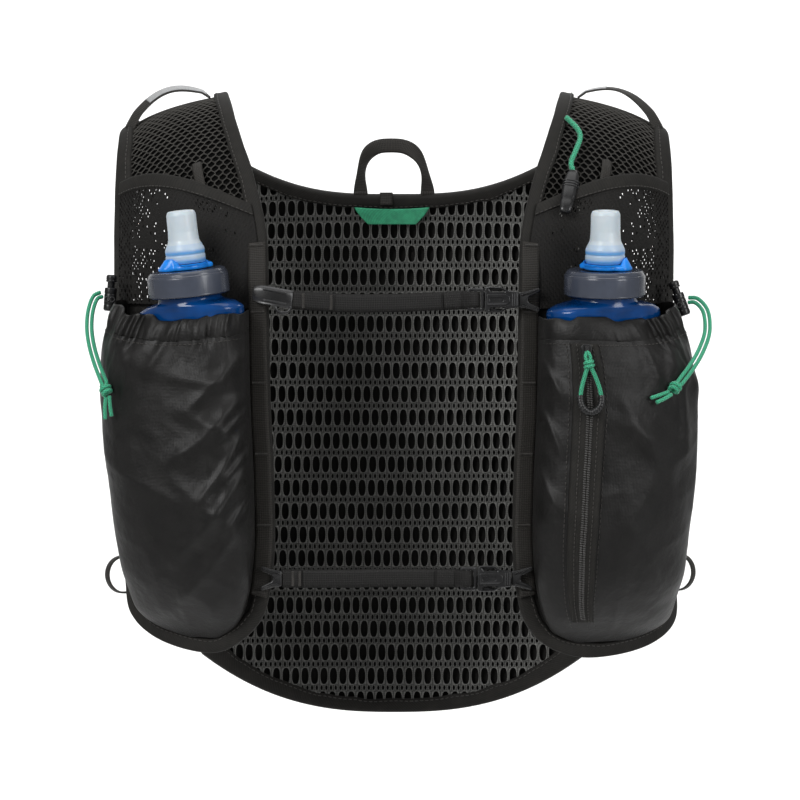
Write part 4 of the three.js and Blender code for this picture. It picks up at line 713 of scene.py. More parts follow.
def shade(colour, share=1.0):
    """A colour made darker or lighter."""
    return (*(min(1.0, c * share) for c in colour), 1.0)


def node(tree, kind, inputs=(), out=0, **settings):
    """Adds one node with its settings, values and links, and gives one of its outputs by name or number."""
    made = tree.nodes.new(kind)
    for key, value in settings.items():
        setattr(made, key, value)
    for key, value in dict(inputs).items():
        if isinstance(value, bpy.types.NodeSocket):
            tree.links.new(value, made.inputs[key])
        else:
            made.inputs[key].default_value = value
    return made.outputs[out] if len(made.outputs) else None


MATERIALS = {}
BAND = 0.31416  # a wave texture of scale 1 repeats every 0.31416, here over a measure in millimetres


def material(name):
    """The finished material of that name, made once."""
    if name not in MATERIALS:
        words, _, finish = FINISHES[name]
        made = bpy.data.materials.new(words)
        made.use_nodes = True
        tree = made.node_tree
        tree.nodes.clear()
        surface = node(tree, "ShaderNodeBsdfPrincipled", finish(tree, bpy.context.scene.vest_colours))
        node(tree, "ShaderNodeOutputMaterial", {"Surface": surface})
        MATERIALS[name] = made
    return MATERIALS[name]


def crossed(tree, wales, courses, operation):
    """Threads that cross on the cloth, so many millimetres apart each way."""
    cloth = node(tree, "ShaderNodeTexCoord", out="UV")
    across = node(tree, "ShaderNodeTexWave", {"Vector": cloth, "Scale": BAND / wales}, "Fac")
    along = node(tree, "ShaderNodeTexWave", {"Vector": cloth, "Scale": BAND / courses}, "Fac", bands_direction="Y")
    return node(tree, "ShaderNodeMath", {0: across, 1: along}, operation=operation)


def mottled(tree, scale, detail, start, end, most, base, patches):
    """A base colour that turns towards the colour of random patches, by most where they are densest."""
    space = node(tree, "ShaderNodeTexCoord", out="Object")
    noise = node(tree, "ShaderNodeTexNoise", {"Vector": space, "Scale": scale, "Detail": detail, "Roughness": 0.6})
    share = node(tree, "ShaderNodeMapRange", {0: noise, 1: start, 2: end, 3: 0, 4: most})
    return node(tree, "ShaderNodeMix", {0: share, 6: base, 7: patches}, 2, data_type="RGBA")


def spacer_knit(tree, colours):
    """Spacer mesh, knitted and heat set: matt charcoal, with a painted highlight on the rims round the slots, painted
    shade in the slots and painted shade along the knit's threads.
    """
    # relief holds painted light: near 1 on the rims round the slots, near 0 deep in the slots and on the yarns inside
    # them
    relief = node(tree, "ShaderNodeAttribute", out="Fac", attribute_name="relief")
    # wales and courses at 1.1 and 1.3 mm: the real ones, 0.5 mm apart, would not show
    knit = crossed(tree, 1.1, 1.3, "MULTIPLY")
    # painted highlight on the rims and painted shade in the slots, as lighter and darker copies of the mesh's colour
    rims = node(tree, "ShaderNodeMix", {0: relief, 6: shade(colours.back_mesh, 0.15), 7: shade(colours.back_mesh, 3.2)},
                2, data_type="RGBA")
    dusty = mottled(tree, 60, 3, 0.35, 0.65, 0.25, rims, linear("#2c2c2b"))
    # painted shade along the knit's threads
    thread_shade = node(tree, "ShaderNodeMapRange", {0: knit, 1: 0.2, 2: 0.8, 3: 0, 4: 0.35})
    tone = node(tree, "ShaderNodeMix", {0: thread_shade, 6: dusty, 7: linear("#161615")}, 2, data_type="RGBA")
    bump = node(tree, "ShaderNodeBump", {"Height": knit, "Distance": 0.25 * MM, "Strength": 0.7})
    return {"Base Color": tone, "Roughness": 0.6, "Specular IOR Level": 0.35, "Normal": bump}


def net_knit(tree, colours):
    """Netting, warp knitted: thin matt strands with painted shade at their sides and a painted highlight along their
    middles, with a faint thread.
    """
    cloth = node(tree, "ShaderNodeTexCoord", out="UV")
    relief = node(tree, "ShaderNodeAttribute", out="Fac", attribute_name="relief")
    # threads 0.7 mm apart, because the real 0.2 mm would not show
    threads = node(tree, "ShaderNodeTexWave", {"Vector": cloth, "Scale": BAND / 0.7}, "Fac",
                   bands_direction="DIAGONAL")
    # painted light on the strands: a painted highlight where relief is near 1 along a strand's middle, painted shade
    # where it is near 0 at its sides and on its inner face
    strand = node(tree, "ShaderNodeMix", {0: relief, 6: linear("#050505"), 7: linear("#4a4844")}, 2, data_type="RGBA")
    share = node(tree, "ShaderNodeMath", {0: threads, 1: 0.4}, operation="MULTIPLY")
    tone = node(tree, "ShaderNodeMix", {0: share, 6: strand, 7: linear("#121211")}, 2, data_type="RGBA")
    bump = node(tree, "ShaderNodeBump", {"Height": threads, "Distance": 0.2 * MM, "Strength": 0.6})
    return {"Base Color": tone, "Roughness": 0.65, "Specular IOR Level": 0.3, "Normal": bump}


def stretch_knit(tree, colours):
    """Power mesh, knitted of nylon and elastane: dull black with a fine warm thread, painted light and shade across its
    loops, and a soft bloom.
    """
    # loops at 0.9 mm, because the real 0.4 mm would not show
    knit = crossed(tree, 0.9, 0.9, "MULTIPLY")
    # painted light and shade across the loops: lighter and darker copies of the cloth's colour
    share = node(tree, "ShaderNodeMapRange", {0: knit, 1: 0.1, 2: 0.8, 3: 0, 4: 0.7})
    loops = node(tree, "ShaderNodeMix", {0: share, 6: shade(colours.cloth, 1.7), 7: shade(colours.cloth, 0.5)}, 2,
                 data_type="RGBA")
    tone = mottled(tree, 45, 3, 0.3, 0.7, 0.35, loops, linear("#1f1e1c"))
    bump = node(tree, "ShaderNodeBump", {"Height": knit, "Distance": 0.2 * MM, "Strength": 0.8})
    return {"Base Color": tone, "Roughness": 0.7, "Specular IOR Level": 0.22, "Normal": bump}


def brushed_tricot(tree, colours):
    """Tricot lining, knitted and brushed: a dead black that is partly the lining's own black and partly painted shade
    under the net, so the net above it stands out.
    """
    space = node(tree, "ShaderNodeTexCoord", out="Object")
    nap = node(tree, "ShaderNodeTexNoise", {"Vector": space, "Scale": 900, "Detail": 2, "Roughness": 0.6})
    # near-black, partly the lining's own colour and partly painted shade under the net
    tone = node(tree, "ShaderNodeMix", {0: nap, 6: linear("#040404"), 7: linear("#0b0b0a")}, 2, data_type="RGBA")
    bump = node(tree, "ShaderNodeBump", {"Height": nap, "Distance": 0.15 * MM, "Strength": 0.5})
    return {"Base Color": tone, "Roughness": 0.9, "Specular IOR Level": 0.1, "Normal": bump}


def pocket_ripstop(tree, colours):
    """Ripstop nylon, woven and calendered: near-black with a low satin sheen and a crinkle along every fold, with
    painted light on the crinkles' crests and painted shade in their hollows.
    """
    space = node(tree, "ShaderNodeTexCoord", out="Object")
    # yarns 0.8 mm apart, because the real 0.1 mm would not show
    yarns = crossed(tree, 0.8, 0.8, "ADD")
    crumple = node(tree, "ShaderNodeTexNoise", {"Vector": space, "Scale": 70, "Detail": 4, "Roughness": 0.55})
    # painted light and shade on the crinkles: lighter and darker copies of the pocket's colour, following the crumple
    # that also bumps the cloth
    share = node(tree, "ShaderNodeMapRange", {0: crumple, 1: 0.3, 2: 0.7, 3: 0, 4: 1})
    tone = node(tree, "ShaderNodeMix", {0: share, 6: shade(colours.pocket, 0.65), 7: shade(colours.pocket, 1.15)}, 2,
                data_type="RGBA")
    gloss = node(tree, "ShaderNodeMapRange", {0: crumple, 1: 0.3, 2: 0.7, 3: 0.42, 4: 0.54})
    creases = node(tree, "ShaderNodeBump", {"Height": crumple, "Distance": 1.6 * MM, "Strength": 0.6})
    bump = node(tree, "ShaderNodeBump", {"Height": yarns, "Distance": 0.05 * MM, "Strength": 0.5, "Normal": creases})
    return {"Base Color": tone, "Roughness": gloss, "Specular IOR Level": 0.3, "Normal": bump}


def folded_binding(tree, colours):
    """Binding, knitted of polyester and folded over the edge: matt, with fine ribs across the tape that carry painted
    light on their crests and painted shade between them.
    """
    cloth = node(tree, "ShaderNodeTexCoord", out="UV")
    # ribs 0.9 mm apart, because the real 0.5 mm would not show
    ribs = node(tree, "ShaderNodeTexWave", {"Vector": cloth, "Scale": BAND / 0.9}, "Fac", bands_direction="DIAGONAL")
    # painted light and shade on the ribs: lighter and darker copies of the binding's colour
    ribbed = node(tree, "ShaderNodeMix", {0: ribs, 6: shade(colours.binding, 0.85), 7: shade(colours.binding, 1.2)}, 2,
                  data_type="RGBA")
    tone = mottled(tree, 160, 3, 0.45, 0.7, 0.4, ribbed, linear("#2c2a27"))
    bump = node(tree, "ShaderNodeBump", {"Height": ribs, "Distance": 0.1 * MM, "Strength": 0.5})
    return {"Base Color": tone, "Roughness": 0.75, "Specular IOR Level": 0.22, "Normal": bump}


def woven_webbing(tree, colours):
    """Webbing, woven of nylon: close ribs across the tape, with painted shade between them and a slight painted
    highlight on the crowns.
    """
    return webbing_weave(tree, colours.webbing)


def strap_webbing(tree, colours):
    """Strap webbing, woven of polyester and pressed: darker and flatter than the rails."""
    return webbing_weave(tree, colours.strap)


def webbing_weave(tree, base):
    """Ribs across a tape, with painted shade in the gaps between them and painted highlights on their crowns."""
    cloth = node(tree, "ShaderNodeTexCoord", out="UV")
    # ribs 1 mm and ends 1.3 mm apart, near the real ones of webbing 10 mm wide
    picks = node(tree, "ShaderNodeTexWave", {"Vector": cloth, "Scale": BAND / 1.0}, "Fac", bands_direction="Y")
    ends = node(tree, "ShaderNodeTexWave", {"Vector": cloth, "Scale": BAND / 1.3}, "Fac")
    weave = node(tree, "ShaderNodeMix", {0: 0.3, 2: picks, 3: ends})
    # painted shade in the gaps and painted highlights on the crowns, as darker and lighter copies of the webbing's
    # colour
    tone = node(tree, "ShaderNodeMix", {0: weave, 6: shade(base, 0.5), 7: shade(base, 1.6)}, 2, data_type="RGBA")
    bump = node(tree, "ShaderNodeBump", {"Height": weave, "Distance": 0.3 * MM, "Strength": 0.8})
    return {"Base Color": tone, "Roughness": 0.6, "Specular IOR Level": 0.28, "Normal": bump}


def sewing_thread(tree, colours):
    """Polyester thread, twisted and bonded: a little lighter than the cloth and faintly shiny."""
    tone = mottled(tree, 900, 3, 0.3, 0.7, 1, linear("#262422"), linear("#3b3834"))
    return {"Base Color": tone, "Roughness": 0.5}


def moulded_acetal(tree, colours):
    """Acetal, injection moulded: black with a satin skin, a fine spark-eroded grain and paler sharp edges."""
    space = node(tree, "ShaderNodeTexCoord", out="Object")
    grain = node(tree, "ShaderNodeTexNoise", {"Vector": space, "Scale": 2600, "Detail": 2, "Roughness": 0.6})
    edges = node(tree, "ShaderNodeNewGeometry", out="Pointiness")
    # paler on sharp edges, found by pointiness
    sharp_edge_pale = node(tree, "ShaderNodeMapRange", {0: edges, 1: 0.52, 2: 0.6, 3: 0, 4: 0.45})
    tone = node(tree, "ShaderNodeMix", {0: sharp_edge_pale, 6: shade(colours.plastic), 7: linear("#4a4a4b")}, 2,
                data_type="RGBA")
    noise = node(tree, "ShaderNodeTexNoise", {"Vector": space, "Scale": 180, "Detail": 3, "Roughness": 0.6})
    gloss = node(tree, "ShaderNodeMapRange", {0: noise, 1: 0.3, 2: 0.7, 3: 0.22, 4: 0.36})
    bump = node(tree, "ShaderNodeBump", {"Height": grain, "Distance": 0.05 * MM, "Strength": 0.5})
    return {"Base Color": tone, "Roughness": gloss, "IOR": 1.48, "Normal": bump}


def coiled_nylon(tree, colours):
    """Nylon monofilament, coiled and sewn to its tape: charcoal and shiny, so each tooth glints."""
    space = node(tree, "ShaderNodeTexCoord", out="Object")
    noise = node(tree, "ShaderNodeTexNoise", {"Vector": space, "Scale": 700, "Detail": 2, "Roughness": 0.6})
    tone = node(tree, "ShaderNodeMix", {0: noise, 6: linear("#2e2d2c"), 7: linear("#4a4947")}, 2, data_type="RGBA")
    return {"Base Color": tone, "Roughness": 0.3, "IOR": 1.53}


def shock_cord(tree, colours):
    """Shock cord in a braided polyester sleeve: bright green with painted shade in the hollows between its strands and
    painted light on their crowns.
    """
    cloth = node(tree, "ShaderNodeTexCoord", out="UV")
    plait = None
    for turn in (38, -38):
        turned = node(tree, "ShaderNodeMapping", {"Vector": cloth, "Rotation": (0, 0, math.radians(turn))})
        strands = node(tree, "ShaderNodeTexWave", {"Vector": turned, "Scale": BAND / 1.15}, "Fac")
        plait = strands if plait is None else node(tree, "ShaderNodeMath", {0: plait, 1: strands}, operation="MAXIMUM")
    # painted shade in the hollows and painted light on the strands, as darker and lighter copies of the cord's colour
    share = node(tree, "ShaderNodeMapRange", {0: plait, 1: 0.5, 2: 1, 3: 0, 4: 1})
    tone = node(tree, "ShaderNodeMix", {0: share, 6: shade(colours.cord, 0.4), 7: shade(colours.cord, 1.2)}, 2,
                data_type="RGBA")
    bump = node(tree, "ShaderNodeBump", {"Height": plait, "Distance": 0.25 * MM, "Strength": 0.8})
    return {"Base Color": tone, "Roughness": 0.55, "Sheen Weight": 0.2, "Normal": bump}


def bonded_tab(tree, colours):
    """Tab, woven and heat bonded: flat mid green with a fine twill, painted shade along the twill's lines, and a
    slightly rubbed surface.
    """
    cloth = node(tree, "ShaderNodeTexCoord", out="UV")
    twill = node(tree, "ShaderNodeTexWave", {"Vector": cloth, "Scale": BAND / 0.9}, "Fac", bands_direction="DIAGONAL")
    rubbed = mottled(tree, 260, 3, 0.35, 0.65, 1, shade(colours.tab, 0.82), shade(colours.tab, 1.15))
    # painted shade along the twill's threads
    thread_shade = node(tree, "ShaderNodeMath", {0: twill, 1: 0.3}, operation="MULTIPLY")
    tone = node(tree, "ShaderNodeMix", {0: thread_shade, 6: rubbed, 7: linear("#1b5a41")}, 2, data_type="RGBA")
    bump = node(tree, "ShaderNodeBump", {"Height": twill, "Distance": 0.12 * MM, "Strength": 0.7})
    return {"Base Color": tone, "Roughness": 0.6, "Normal": bump}


def flask_film(tree, colours):
    """Polyurethane film, blown and tinted: deep blue and wet-looking, with painted light and shade over its ripples and
    painted shade where the film turns away from the camera.
    """
    space = node(tree, "ShaderNodeTexCoord", out="Object")
    ripple = node(tree, "ShaderNodeTexNoise", {"Vector": space, "Scale": 55, "Detail": 2, "Roughness": 0.6})
    # painted light and shade over the ripples that also bump the film: lighter and darker copies of the flask's colour
    share = node(tree, "ShaderNodeMapRange", {0: ripple, 1: 0.3, 2: 0.7, 3: 0, 4: 1})
    body = node(tree, "ShaderNodeMix", {0: share, 6: shade(colours.flask, 0.7), 7: shade(colours.flask, 1.5)}, 2,
                data_type="RGBA")
    # painted shade where the film turns away from the camera
    edge = node(tree, "ShaderNodeLayerWeight", {"Blend": 0.35}, "Facing")
    tone = node(tree, "ShaderNodeMix", {0: edge, 6: body, 7: shade(colours.flask, 0.35)}, 2, data_type="RGBA")
    bump = node(tree, "ShaderNodeBump", {"Height": ripple, "Distance": 0.8 * MM, "Strength": 0.6})
    return {"Base Color": tone, "Roughness": 0.14, "IOR": 1.5, "Specular IOR Level": 0.4, "Normal": bump}


def cap_plastic(tree, colours):
    """Copolyester, moulded and smoke tinted: dark grey-blue with bright rims, painted light where it faces the camera
    and painted shade where it turns away.
    """
    # painted light where the cap faces the camera and painted shade where it turns away
    edge = node(tree, "ShaderNodeLayerWeight", {"Blend": 0.5}, "Facing")
    body = node(tree, "ShaderNodeMix", {0: edge, 6: shade(colours.cap, 1.6), 7: shade(colours.cap, 0.7)}, 2,
                data_type="RGBA")
    tone = mottled(tree, 120, 2, 0.3, 0.7, 0.4, body, shade(colours.cap))
    return {"Base Color": tone, "Roughness": 0.24, "IOR": 1.56, "Transmission Weight": 0.25}


def lock_plastic(tree, colours):
    """Polypropylene, injection moulded: bright blue with a waxy gloss."""
    tone = mottled(tree, 200, 2, 0.35, 0.65, 1, shade(colours.lock), shade(colours.lock, 0.8))
    return {"Base Color": tone, "Roughness": 0.28, "Subsurface Weight": 0.15,
            "Subsurface Radius": (0.001, 0.002, 0.005)}


def valve_silicone(tree, colours):
    """Silicone rubber, moulded clear: milky and half see-through, so the blue below tints it."""
    milky = mottled(tree, 90, 2, 0.3, 0.7, 1, shade(colours.valve), linear("#d5e2ea"))
    tinted = node(tree, "ShaderNodeAttribute", out="Fac", attribute_name="relief")
    tone = node(tree, "ShaderNodeMix", {0: tinted, 6: milky, 7: linear("#6fb2ee")}, 2, data_type="RGBA")
    return {"Base Color": tone, "Roughness": 0.3, "IOR": 1.41, "Transmission Weight": 0.25, "Subsurface Weight": 0.4,
            "Subsurface Radius": (0.004, 0.005, 0.006)}


def reflective_tape(tree, colours):
    """Glass-bead tape, laminated on webbing: pale silver grey and quite matt."""
    space = node(tree, "ShaderNodeTexCoord", out="Object")
    beads = node(tree, "ShaderNodeTexNoise", {"Vector": space, "Scale": 1800, "Detail": 2, "Roughness": 0.6})
    share = node(tree, "ShaderNodeMapRange", {0: beads, 1: 0.3, 2: 0.7, 3: 0, 4: 1})
    tone = node(tree, "ShaderNodeMix", {0: share, 6: linear("#868788"), 7: linear("#adaeaf")}, 2, data_type="RGBA")
    bump = node(tree, "ShaderNodeBump", {"Height": beads, "Distance": 0.05 * MM, "Strength": 0.5})
    return {"Base Color": tone, "Roughness": 0.45, "Normal": bump}


def floor_paper(tree, colours):
    """Studio paper, rolled: even and matt."""
    space = node(tree, "ShaderNodeTexCoord", out="Object")
    noise = node(tree, "ShaderNodeTexNoise", {"Vector": space, "Scale": 3, "Detail": 3, "Roughness": 0.6})
    tone = node(tree, "ShaderNodeMix", {0: noise, 6: linear("#fbfbfa"), 7: linear("#ffffff")}, 2, data_type="RGBA")
    return {"Base Color": tone, "Roughness": 0.9}


FINISHES = {
    # what it is and how it was made, the slot of a piece made of it, and what builds its nodes
    "spacer": ("spacer mesh, knitted polyester", "spacer_mesh", spacer_knit),
    "net": ("hexagonal netting, warp-knit polyester", "black_net", net_knit),
    "stretch": ("power mesh, knitted nylon", "stretch_mesh", stretch_knit),
    "lining": ("tricot, knitted and brushed", "stretch_mesh", brushed_tricot),
    "ripstop": ("ripstop nylon, woven and calendered", "ripstop", pocket_ripstop),
    "binding": ("folded binding, knitted polyester", "binding", folded_binding),
    "webbing": ("nylon webbing, woven", "webbing", woven_webbing),
    "strap": ("polyester webbing, woven and pressed", "webbing", strap_webbing),
    "thread": ("polyester thread, twisted and bonded", None, sewing_thread),
    "acetal": ("acetal, injection moulded", "acetal", moulded_acetal),
    "coil": ("nylon monofilament, coiled", "acetal", coiled_nylon),
    "cord": ("shock cord, braided polyester", "green_cord", shock_cord),
    "tab": ("woven tab, heat bonded", "green_tab", bonded_tab),
    "flask": ("thermoplastic polyurethane, blown film", "flask_blue", flask_film),
    "cap": ("tinted copolyester, injection moulded", "cap_grey", cap_plastic),
    "lock": ("polypropylene, injection moulded", "lock_blue", lock_plastic),
    "valve": ("silicone rubber, moulded clear", "silicone", valve_silicone),
    "reflective": ("reflective tape, glass bead", None, reflective_tape),
    "paper": ("studio paper, rolled", None, floor_paper),
}

# ---------------------------------------------------------------------------------------------------------------
# Settings


def colour(name, hex_colour, words):
    return bpy.props.FloatVectorProperty(name=name, description=words, subtype="COLOR", size=3, min=0, max=1,
                                         default=linear(hex_colour, alpha=False))


class VestColours(bpy.types.PropertyGroup):
    """Colours of the vest's finishes."""

    back_mesh: colour("Back mesh", "#484846", "Knitted spacer mesh of the back")
    cloth: colour("Stretch cloth", "#151413", "Stretch mesh of the pockets behind the flasks")
    pocket: colour("Pocket cloth", "#141312", "Ripstop nylon of the flask pockets")
    binding: colour("Binding", "#201f1d", "Binding round every edge")
    webbing: colour("Webbing", "#292724", "Rails, loops and tabs")
    strap: colour("Straps", "#131211", "Sternum straps")
    plastic: colour("Plastic", "#141415", "Buckles, hooks and cord locks")
    cord: colour("Cord", "#2fa97e", "Drawcords, whistle cord and zip pull")
    tab: colour("Tab", "#36a378", "Plain tab below the neckline")
    flask: colour("Flask", "#033c78", "Soft flasks")
    cap: colour("Cap", "#3e434f", "Screw caps")
    lock: colour("Valve lock", "#1a8cf0", "Turning locks under the bite valves")
    valve: colour("Bite valve", "#dfe8ee", "Bite valves")


def distance(name, value, words):
    return bpy.props.FloatProperty(name=name, description=words, default=value * MM, min=0, soft_max=0.05,
                                   unit="LENGTH", subtype="DISTANCE", precision=4)


class VestSizes(bpy.types.PropertyGroup):
    """Sizes of the detail that is made here."""

    slot_pitch: distance("Slot pitch", 5.9, "Side by side distance of the back's slots")
    slot_row: distance("Slot row", 14.7, "Distance between rows of the back's slots")
    slot_width: distance("Slot width", 4.4, "Width of one slot of the back")
    slot_height: distance("Slot height", 10.2, "Height of one slot of the back")
    net_pitch: distance("Net pitch", 4.6, "Distance between the holes of the shoulder nets")
    net_strand: distance("Net strand", 0.75, "Width of the strands of the shoulder nets")
    mesh_pitch: distance("Mesh pitch", 2.5, "Distance between the holes of the upper pockets")
    stitch_spacing: distance("Stitch spacing", 3.2, "From stitch to stitch along a seam")
    crumple: distance("Crumple", 0.9, "Height of the small creases of the flask pockets")


# ---------------------------------------------------------------------------------------------------------------
# Camera and stage


def make_camera():
    camera = bpy.data.objects.new("camera", bpy.data.cameras.new("camera"))
    camera.location = (0.0036, -2.0, -0.1865)
    camera.rotation_euler = (math.pi / 2, 0, 0)
    camera.data.lens, camera.data.sensor_width = 150, 36
    bpy.context.scene.collection.objects.link(camera)
    bpy.context.scene.camera = camera


def area_light(name, place, towards, size, power, spread=180, colour_hex="#ffffff"):
    light = bpy.data.lights.new(name, "AREA")
    light.shape, light.size, light.size_y, light.energy = "RECTANGLE", *size, power
    light.color, light.spread = linear(colour_hex, alpha=False), math.radians(spread)
    holder = bpy.data.objects.new(name, light)
    holder.location = place
    holder.rotation_euler = (Vector(towards) - Vector(place)).to_track_quat("-Z", "Y").to_euler()
    bpy.context.scene.collection.objects.link(holder)


def make_stage():
    shape = Shape()
    run = np.array([(-6, -1.45), (3.0, -1.45), (4.2, -1.3), (4.9, -0.6), (5.1, 1.2), (5.1, 6)])
    line = spline(run, np.linspace(0, 1, 60))
    x = np.array([-8.0, 8.0])
    points = np.array([[(side, y, z) for side in x] for y, z in line]) / MM
    shape.add(points, grid_faces(60, 2)[:, ::-1])
    mesh_object = shape.piece("studio_floor", "paper")
    world = bpy.data.worlds.new("studio")
    bpy.context.scene.world = world
    world.use_nodes = True
    world.node_tree.nodes["Background"].inputs[0].default_value = (1, 1, 1, 1)
    world.node_tree.nodes["Background"].inputs[1].default_value = 0.3
    area_light("key_softbox", (-1.3, -1.9, 0.9), (0, 0, -0.2), (1.0, 1.4), 8.5, 80)
    area_light("fill_softbox", (1.6, -1.5, 0.5), (0, 0, -0.2), (0.8, 1.6), 5, 80)
    area_light("top_softbox", (0, -0.2, 1.7), (0, 0, -0.2), (1.6, 1.2), 10)
    area_light("floor_wash", (0, 2.6, 2.6), (0, 4.5, 0), (4, 2), 170)
    bpy.context.scene.view_settings.view_transform = "Standard"


# Cords


CORD_RADIUS = 1.15


def add_cord(shape, line, radius=CORD_RADIUS, sides=12):
    """Shock cord in its braided sleeve."""
    add_tube(shape, line, radius, sides, 0, braid(2.3, 4, 0.06))


def add_knot(shape, middle, along, radius, cord_radius=CORD_RADIUS, finish=0):
    """An overhand knot: a cord wound twice round itself."""
    along = unit(np.asarray(along, float))
    a = unit(np.cross(along, (0.3, -1, 0.2)))
    b = np.cross(along, a)
    t = np.linspace(0, 1, 72)[:, None]
    angle = t * 4.4 * math.pi
    reach = radius * (0.62 + 0.3 * np.sin(t * math.pi))
    line = (np.asarray(middle) + along * (t - 0.5) * radius * 1.9
            + (a * np.cos(angle) + b * np.sin(angle)) * reach)
    add_tube(shape, line, cord_radius, 10, finish, braid(2.3, 4, 0.05))


def make_drawcords():
    for side in SIDES:
        route = np.array(CORD_ROUTE[side], float)
        along = np.array([route[min(i + 1, 6)] - route[max(i - 1, 0)] for i in range(7)])
        aside = unit(np.cross(along, (0, 1, 0)))
        tail = np.array(TAIL_ROUTE[side], float)
        knot = Shape()
        middle = (route[-1] + tail[0]) / 2
        add_knot(knot, middle, tail[0] - route[-1], 3.0)
        for turn in (-1, 1):
            ends = tail + aside[-1] * turn * np.array([[1.1], [1.6], [2.0]])
            add_cord(knot, spline(ends, np.linspace(0, 1, 16)), sides=10)
        knotted = knot.piece(f"drawcord_knot_{side}", "cord", replaces=f"drawcord_{side}")
        for which in (0, 1):
            line = spline(route + aside * (which - 0.5) * 2.8, np.linspace(0, 1, 90))
            line = np.vstack([line, (line[-1] + 2 * middle) / 3, middle])
            strand = Shape()
            add_cord(strand, resampled(line, 110))
            piece = strand.piece(f"drawcord_strand_{side}_{which + 1}", "cord")
            path = resampled(line, 24) * MM


WHISTLE_LONG, WHISTLE_HALF_WIDE, WHISTLE_HALF_THICK = 31, 4.3, 3


def whistle_line():
    lift = np.array([1.9] + [2.6] * 5) + NET_THICKNESS + 1
    return spline(on_form(WHISTLE_CORD[:, 0], WHISTLE_CORD[:, 1], lift), np.linspace(0, 1, 90))


def make_whistle():
    """The whistle on its braided cord."""
    down, across = WHISTLE_CORD[-1]
    top = on_form(down + 0.4, across, 4 + 2.6 + 3 - 2)
    foot = on_form(down + 34.5, across - 8.7, 4 + 8 + 4)
    along = unit(foot - top)
    wide = unit(np.array([1, 0, 0]) - along * along[0])
    thick = np.cross(along, wide)
    shape = Shape()
    table = np.array([(0, 0.4, 0.4), (0.03, 0.6, 0.66), (0.12, 0.86, 0.9), (0.25, 1, 1), (0.55, 1, 1),
                      (0.7, 0.96, 0.95),
                      (0.74, 0.86, 0.86), (0.78, 0.94, 0.9), (0.92, 0.8, 0.74), (0.98, 0.7, 0.62), (1, 0.5, 0.44)])
    angle = np.linspace(0, 2 * math.pi, 40, endpoint=False)
    c, s = np.cos(angle), np.sin(angle)
    a, b = squarish(c, 0.6), squarish(s, 0.6)
    rings = np.array([top + along * share * WHISTLE_LONG + (wide * a[:, None] * w * WHISTLE_HALF_WIDE)
                      + (thick * b[:, None] * t * WHISTLE_HALF_THICK) for share, w, t in table])
    shape.add(np.vstack([rings.reshape(-1, 3), top, rings[-1].mean(0)]), closed_rings(len(rings), 40))
    for share in (0.3, 0.36, 0.42):
        ring = [top + along * (share * WHISTLE_LONG) + wide * a[k] * (WHISTLE_HALF_WIDE + 0.12)
                + thick * b[k] * (WHISTLE_HALF_THICK + 0.12) for k in range(len(angle))]
        add_tube(shape, np.array(ring + ring[:1]), 0.35, 6)
    whistle = shape.piece("whistle_body", "acetal", replaces="whistle")
    cord = Shape()
    line = resampled(whistle_line(), 150)
    add_tube(cord, line, 1.5, 16, 0, braid(5.2, 3, 0.16))
    piece = cord.piece("whistle_braid", "cord", replaces="whistle_cord")
    path = resampled(line, 24) * MM


# Back


def back_limits(down, across, edge):
    """The back panel's places moved inside its outline."""
    wide = np.clip(across / 125, -1, 1)
    for _ in range(3):
        hem = BACK_LENGTH - HEM_RISE * np.abs(wide) ** HEM_ROUND
        top = neckline(across)
        half = back_half_width(np.clip((down - top) / (hem - top), 0, 1))
        wide = np.clip(across / half, -1, 1)
    held = np.clip(across, -(half - edge), half - edge)
    return np.clip(down, neckline(held) + edge * (np.abs(held) < NECK_HALF_WIDTH), hem - edge), held


def make_back_mesh():
    sizes = bpy.context.scene.vest_sizes
    pitch, row = sizes.slot_pitch / MM, sizes.slot_row / MM
    wide, tall = sizes.slot_width / MM, sizes.slot_height / MM
    strip = 3.9  # height of the solid strip between two rows of slots
    shape = Shape()

    def place(flat, height):
        down, across = back_limits(-flat[..., 1], flat[..., 0], 4.0)
        return on_form(-down, across, height)

    rows = np.arange(BACK_SEAM, BACK_LENGTH + row, row)
    columns = np.arange(-24, 25) * pitch
    x, y = np.meshgrid(columns, rows)
    x = x - 0.75 * np.arange(len(rows))[:, None] + 8
    centres = np.stack([x.ravel(), -y.ravel()], -1)
    down, across = back_limits(-centres[:, 1], centres[:, 0], 0.0)
    near = (np.abs(down + centres[:, 1]) < tall * 0.75) & (np.abs(across - centres[:, 0]) < pitch * 0.6)
    centres = centres[near]
    half = np.array([pitch / 2, (row - strip) / 2])
    border = BOX_RING * half
    rim = oval(wide + 1.0, tall + 1.2, 14, 1.4)
    lip = oval(wide + 0.25, tall + 0.3, 14, 1.4)
    hole = oval(wide, tall, 14, 1.4)
    # the last numbers are relief values, painted light: a painted highlight on the rims, painted shade deep in the
    # slots
    add_cells(shape, centres, [border, rim, lip, hole], [0.75, 0.0, 0.25, 0.9], [0.25, 1.0, 0.75, 0.1], place)
    yarns = Shape()
    # the spacer yarns inside the slots get painted shade
    add_cells(yarns, centres, [hole, hole * 1.03], [0.9, 2.9], [0.1, 0.0], place)
    ovals = np.concatenate([centres + (s * pitch / 4 + s * 0.02, -row / 2) for s in (-1, 1)])
    border = BOX_RING[[0, 2, 4, 5, 7, 9, 10, 12]] * (pitch / 4, strip / 2)
    hole = oval(1.5, 3.0, 8)
    # the small ovals between the rows get the same painted light and shade
    add_cells(shape, ovals, [border, hole * 1.2, hole], [0.75, 0.35, 0.7], [0.25, 0.75, 0.2], place)
    add_cells(yarns, ovals, [hole, hole * 0.9], [0.7, 2.6], [0.2, 0], place)
    made = shape.piece("back_mesh_knit", "spacer", replaces="back_mesh")
    within = yarns.piece("back_mesh_spacer_yarns", "spacer")


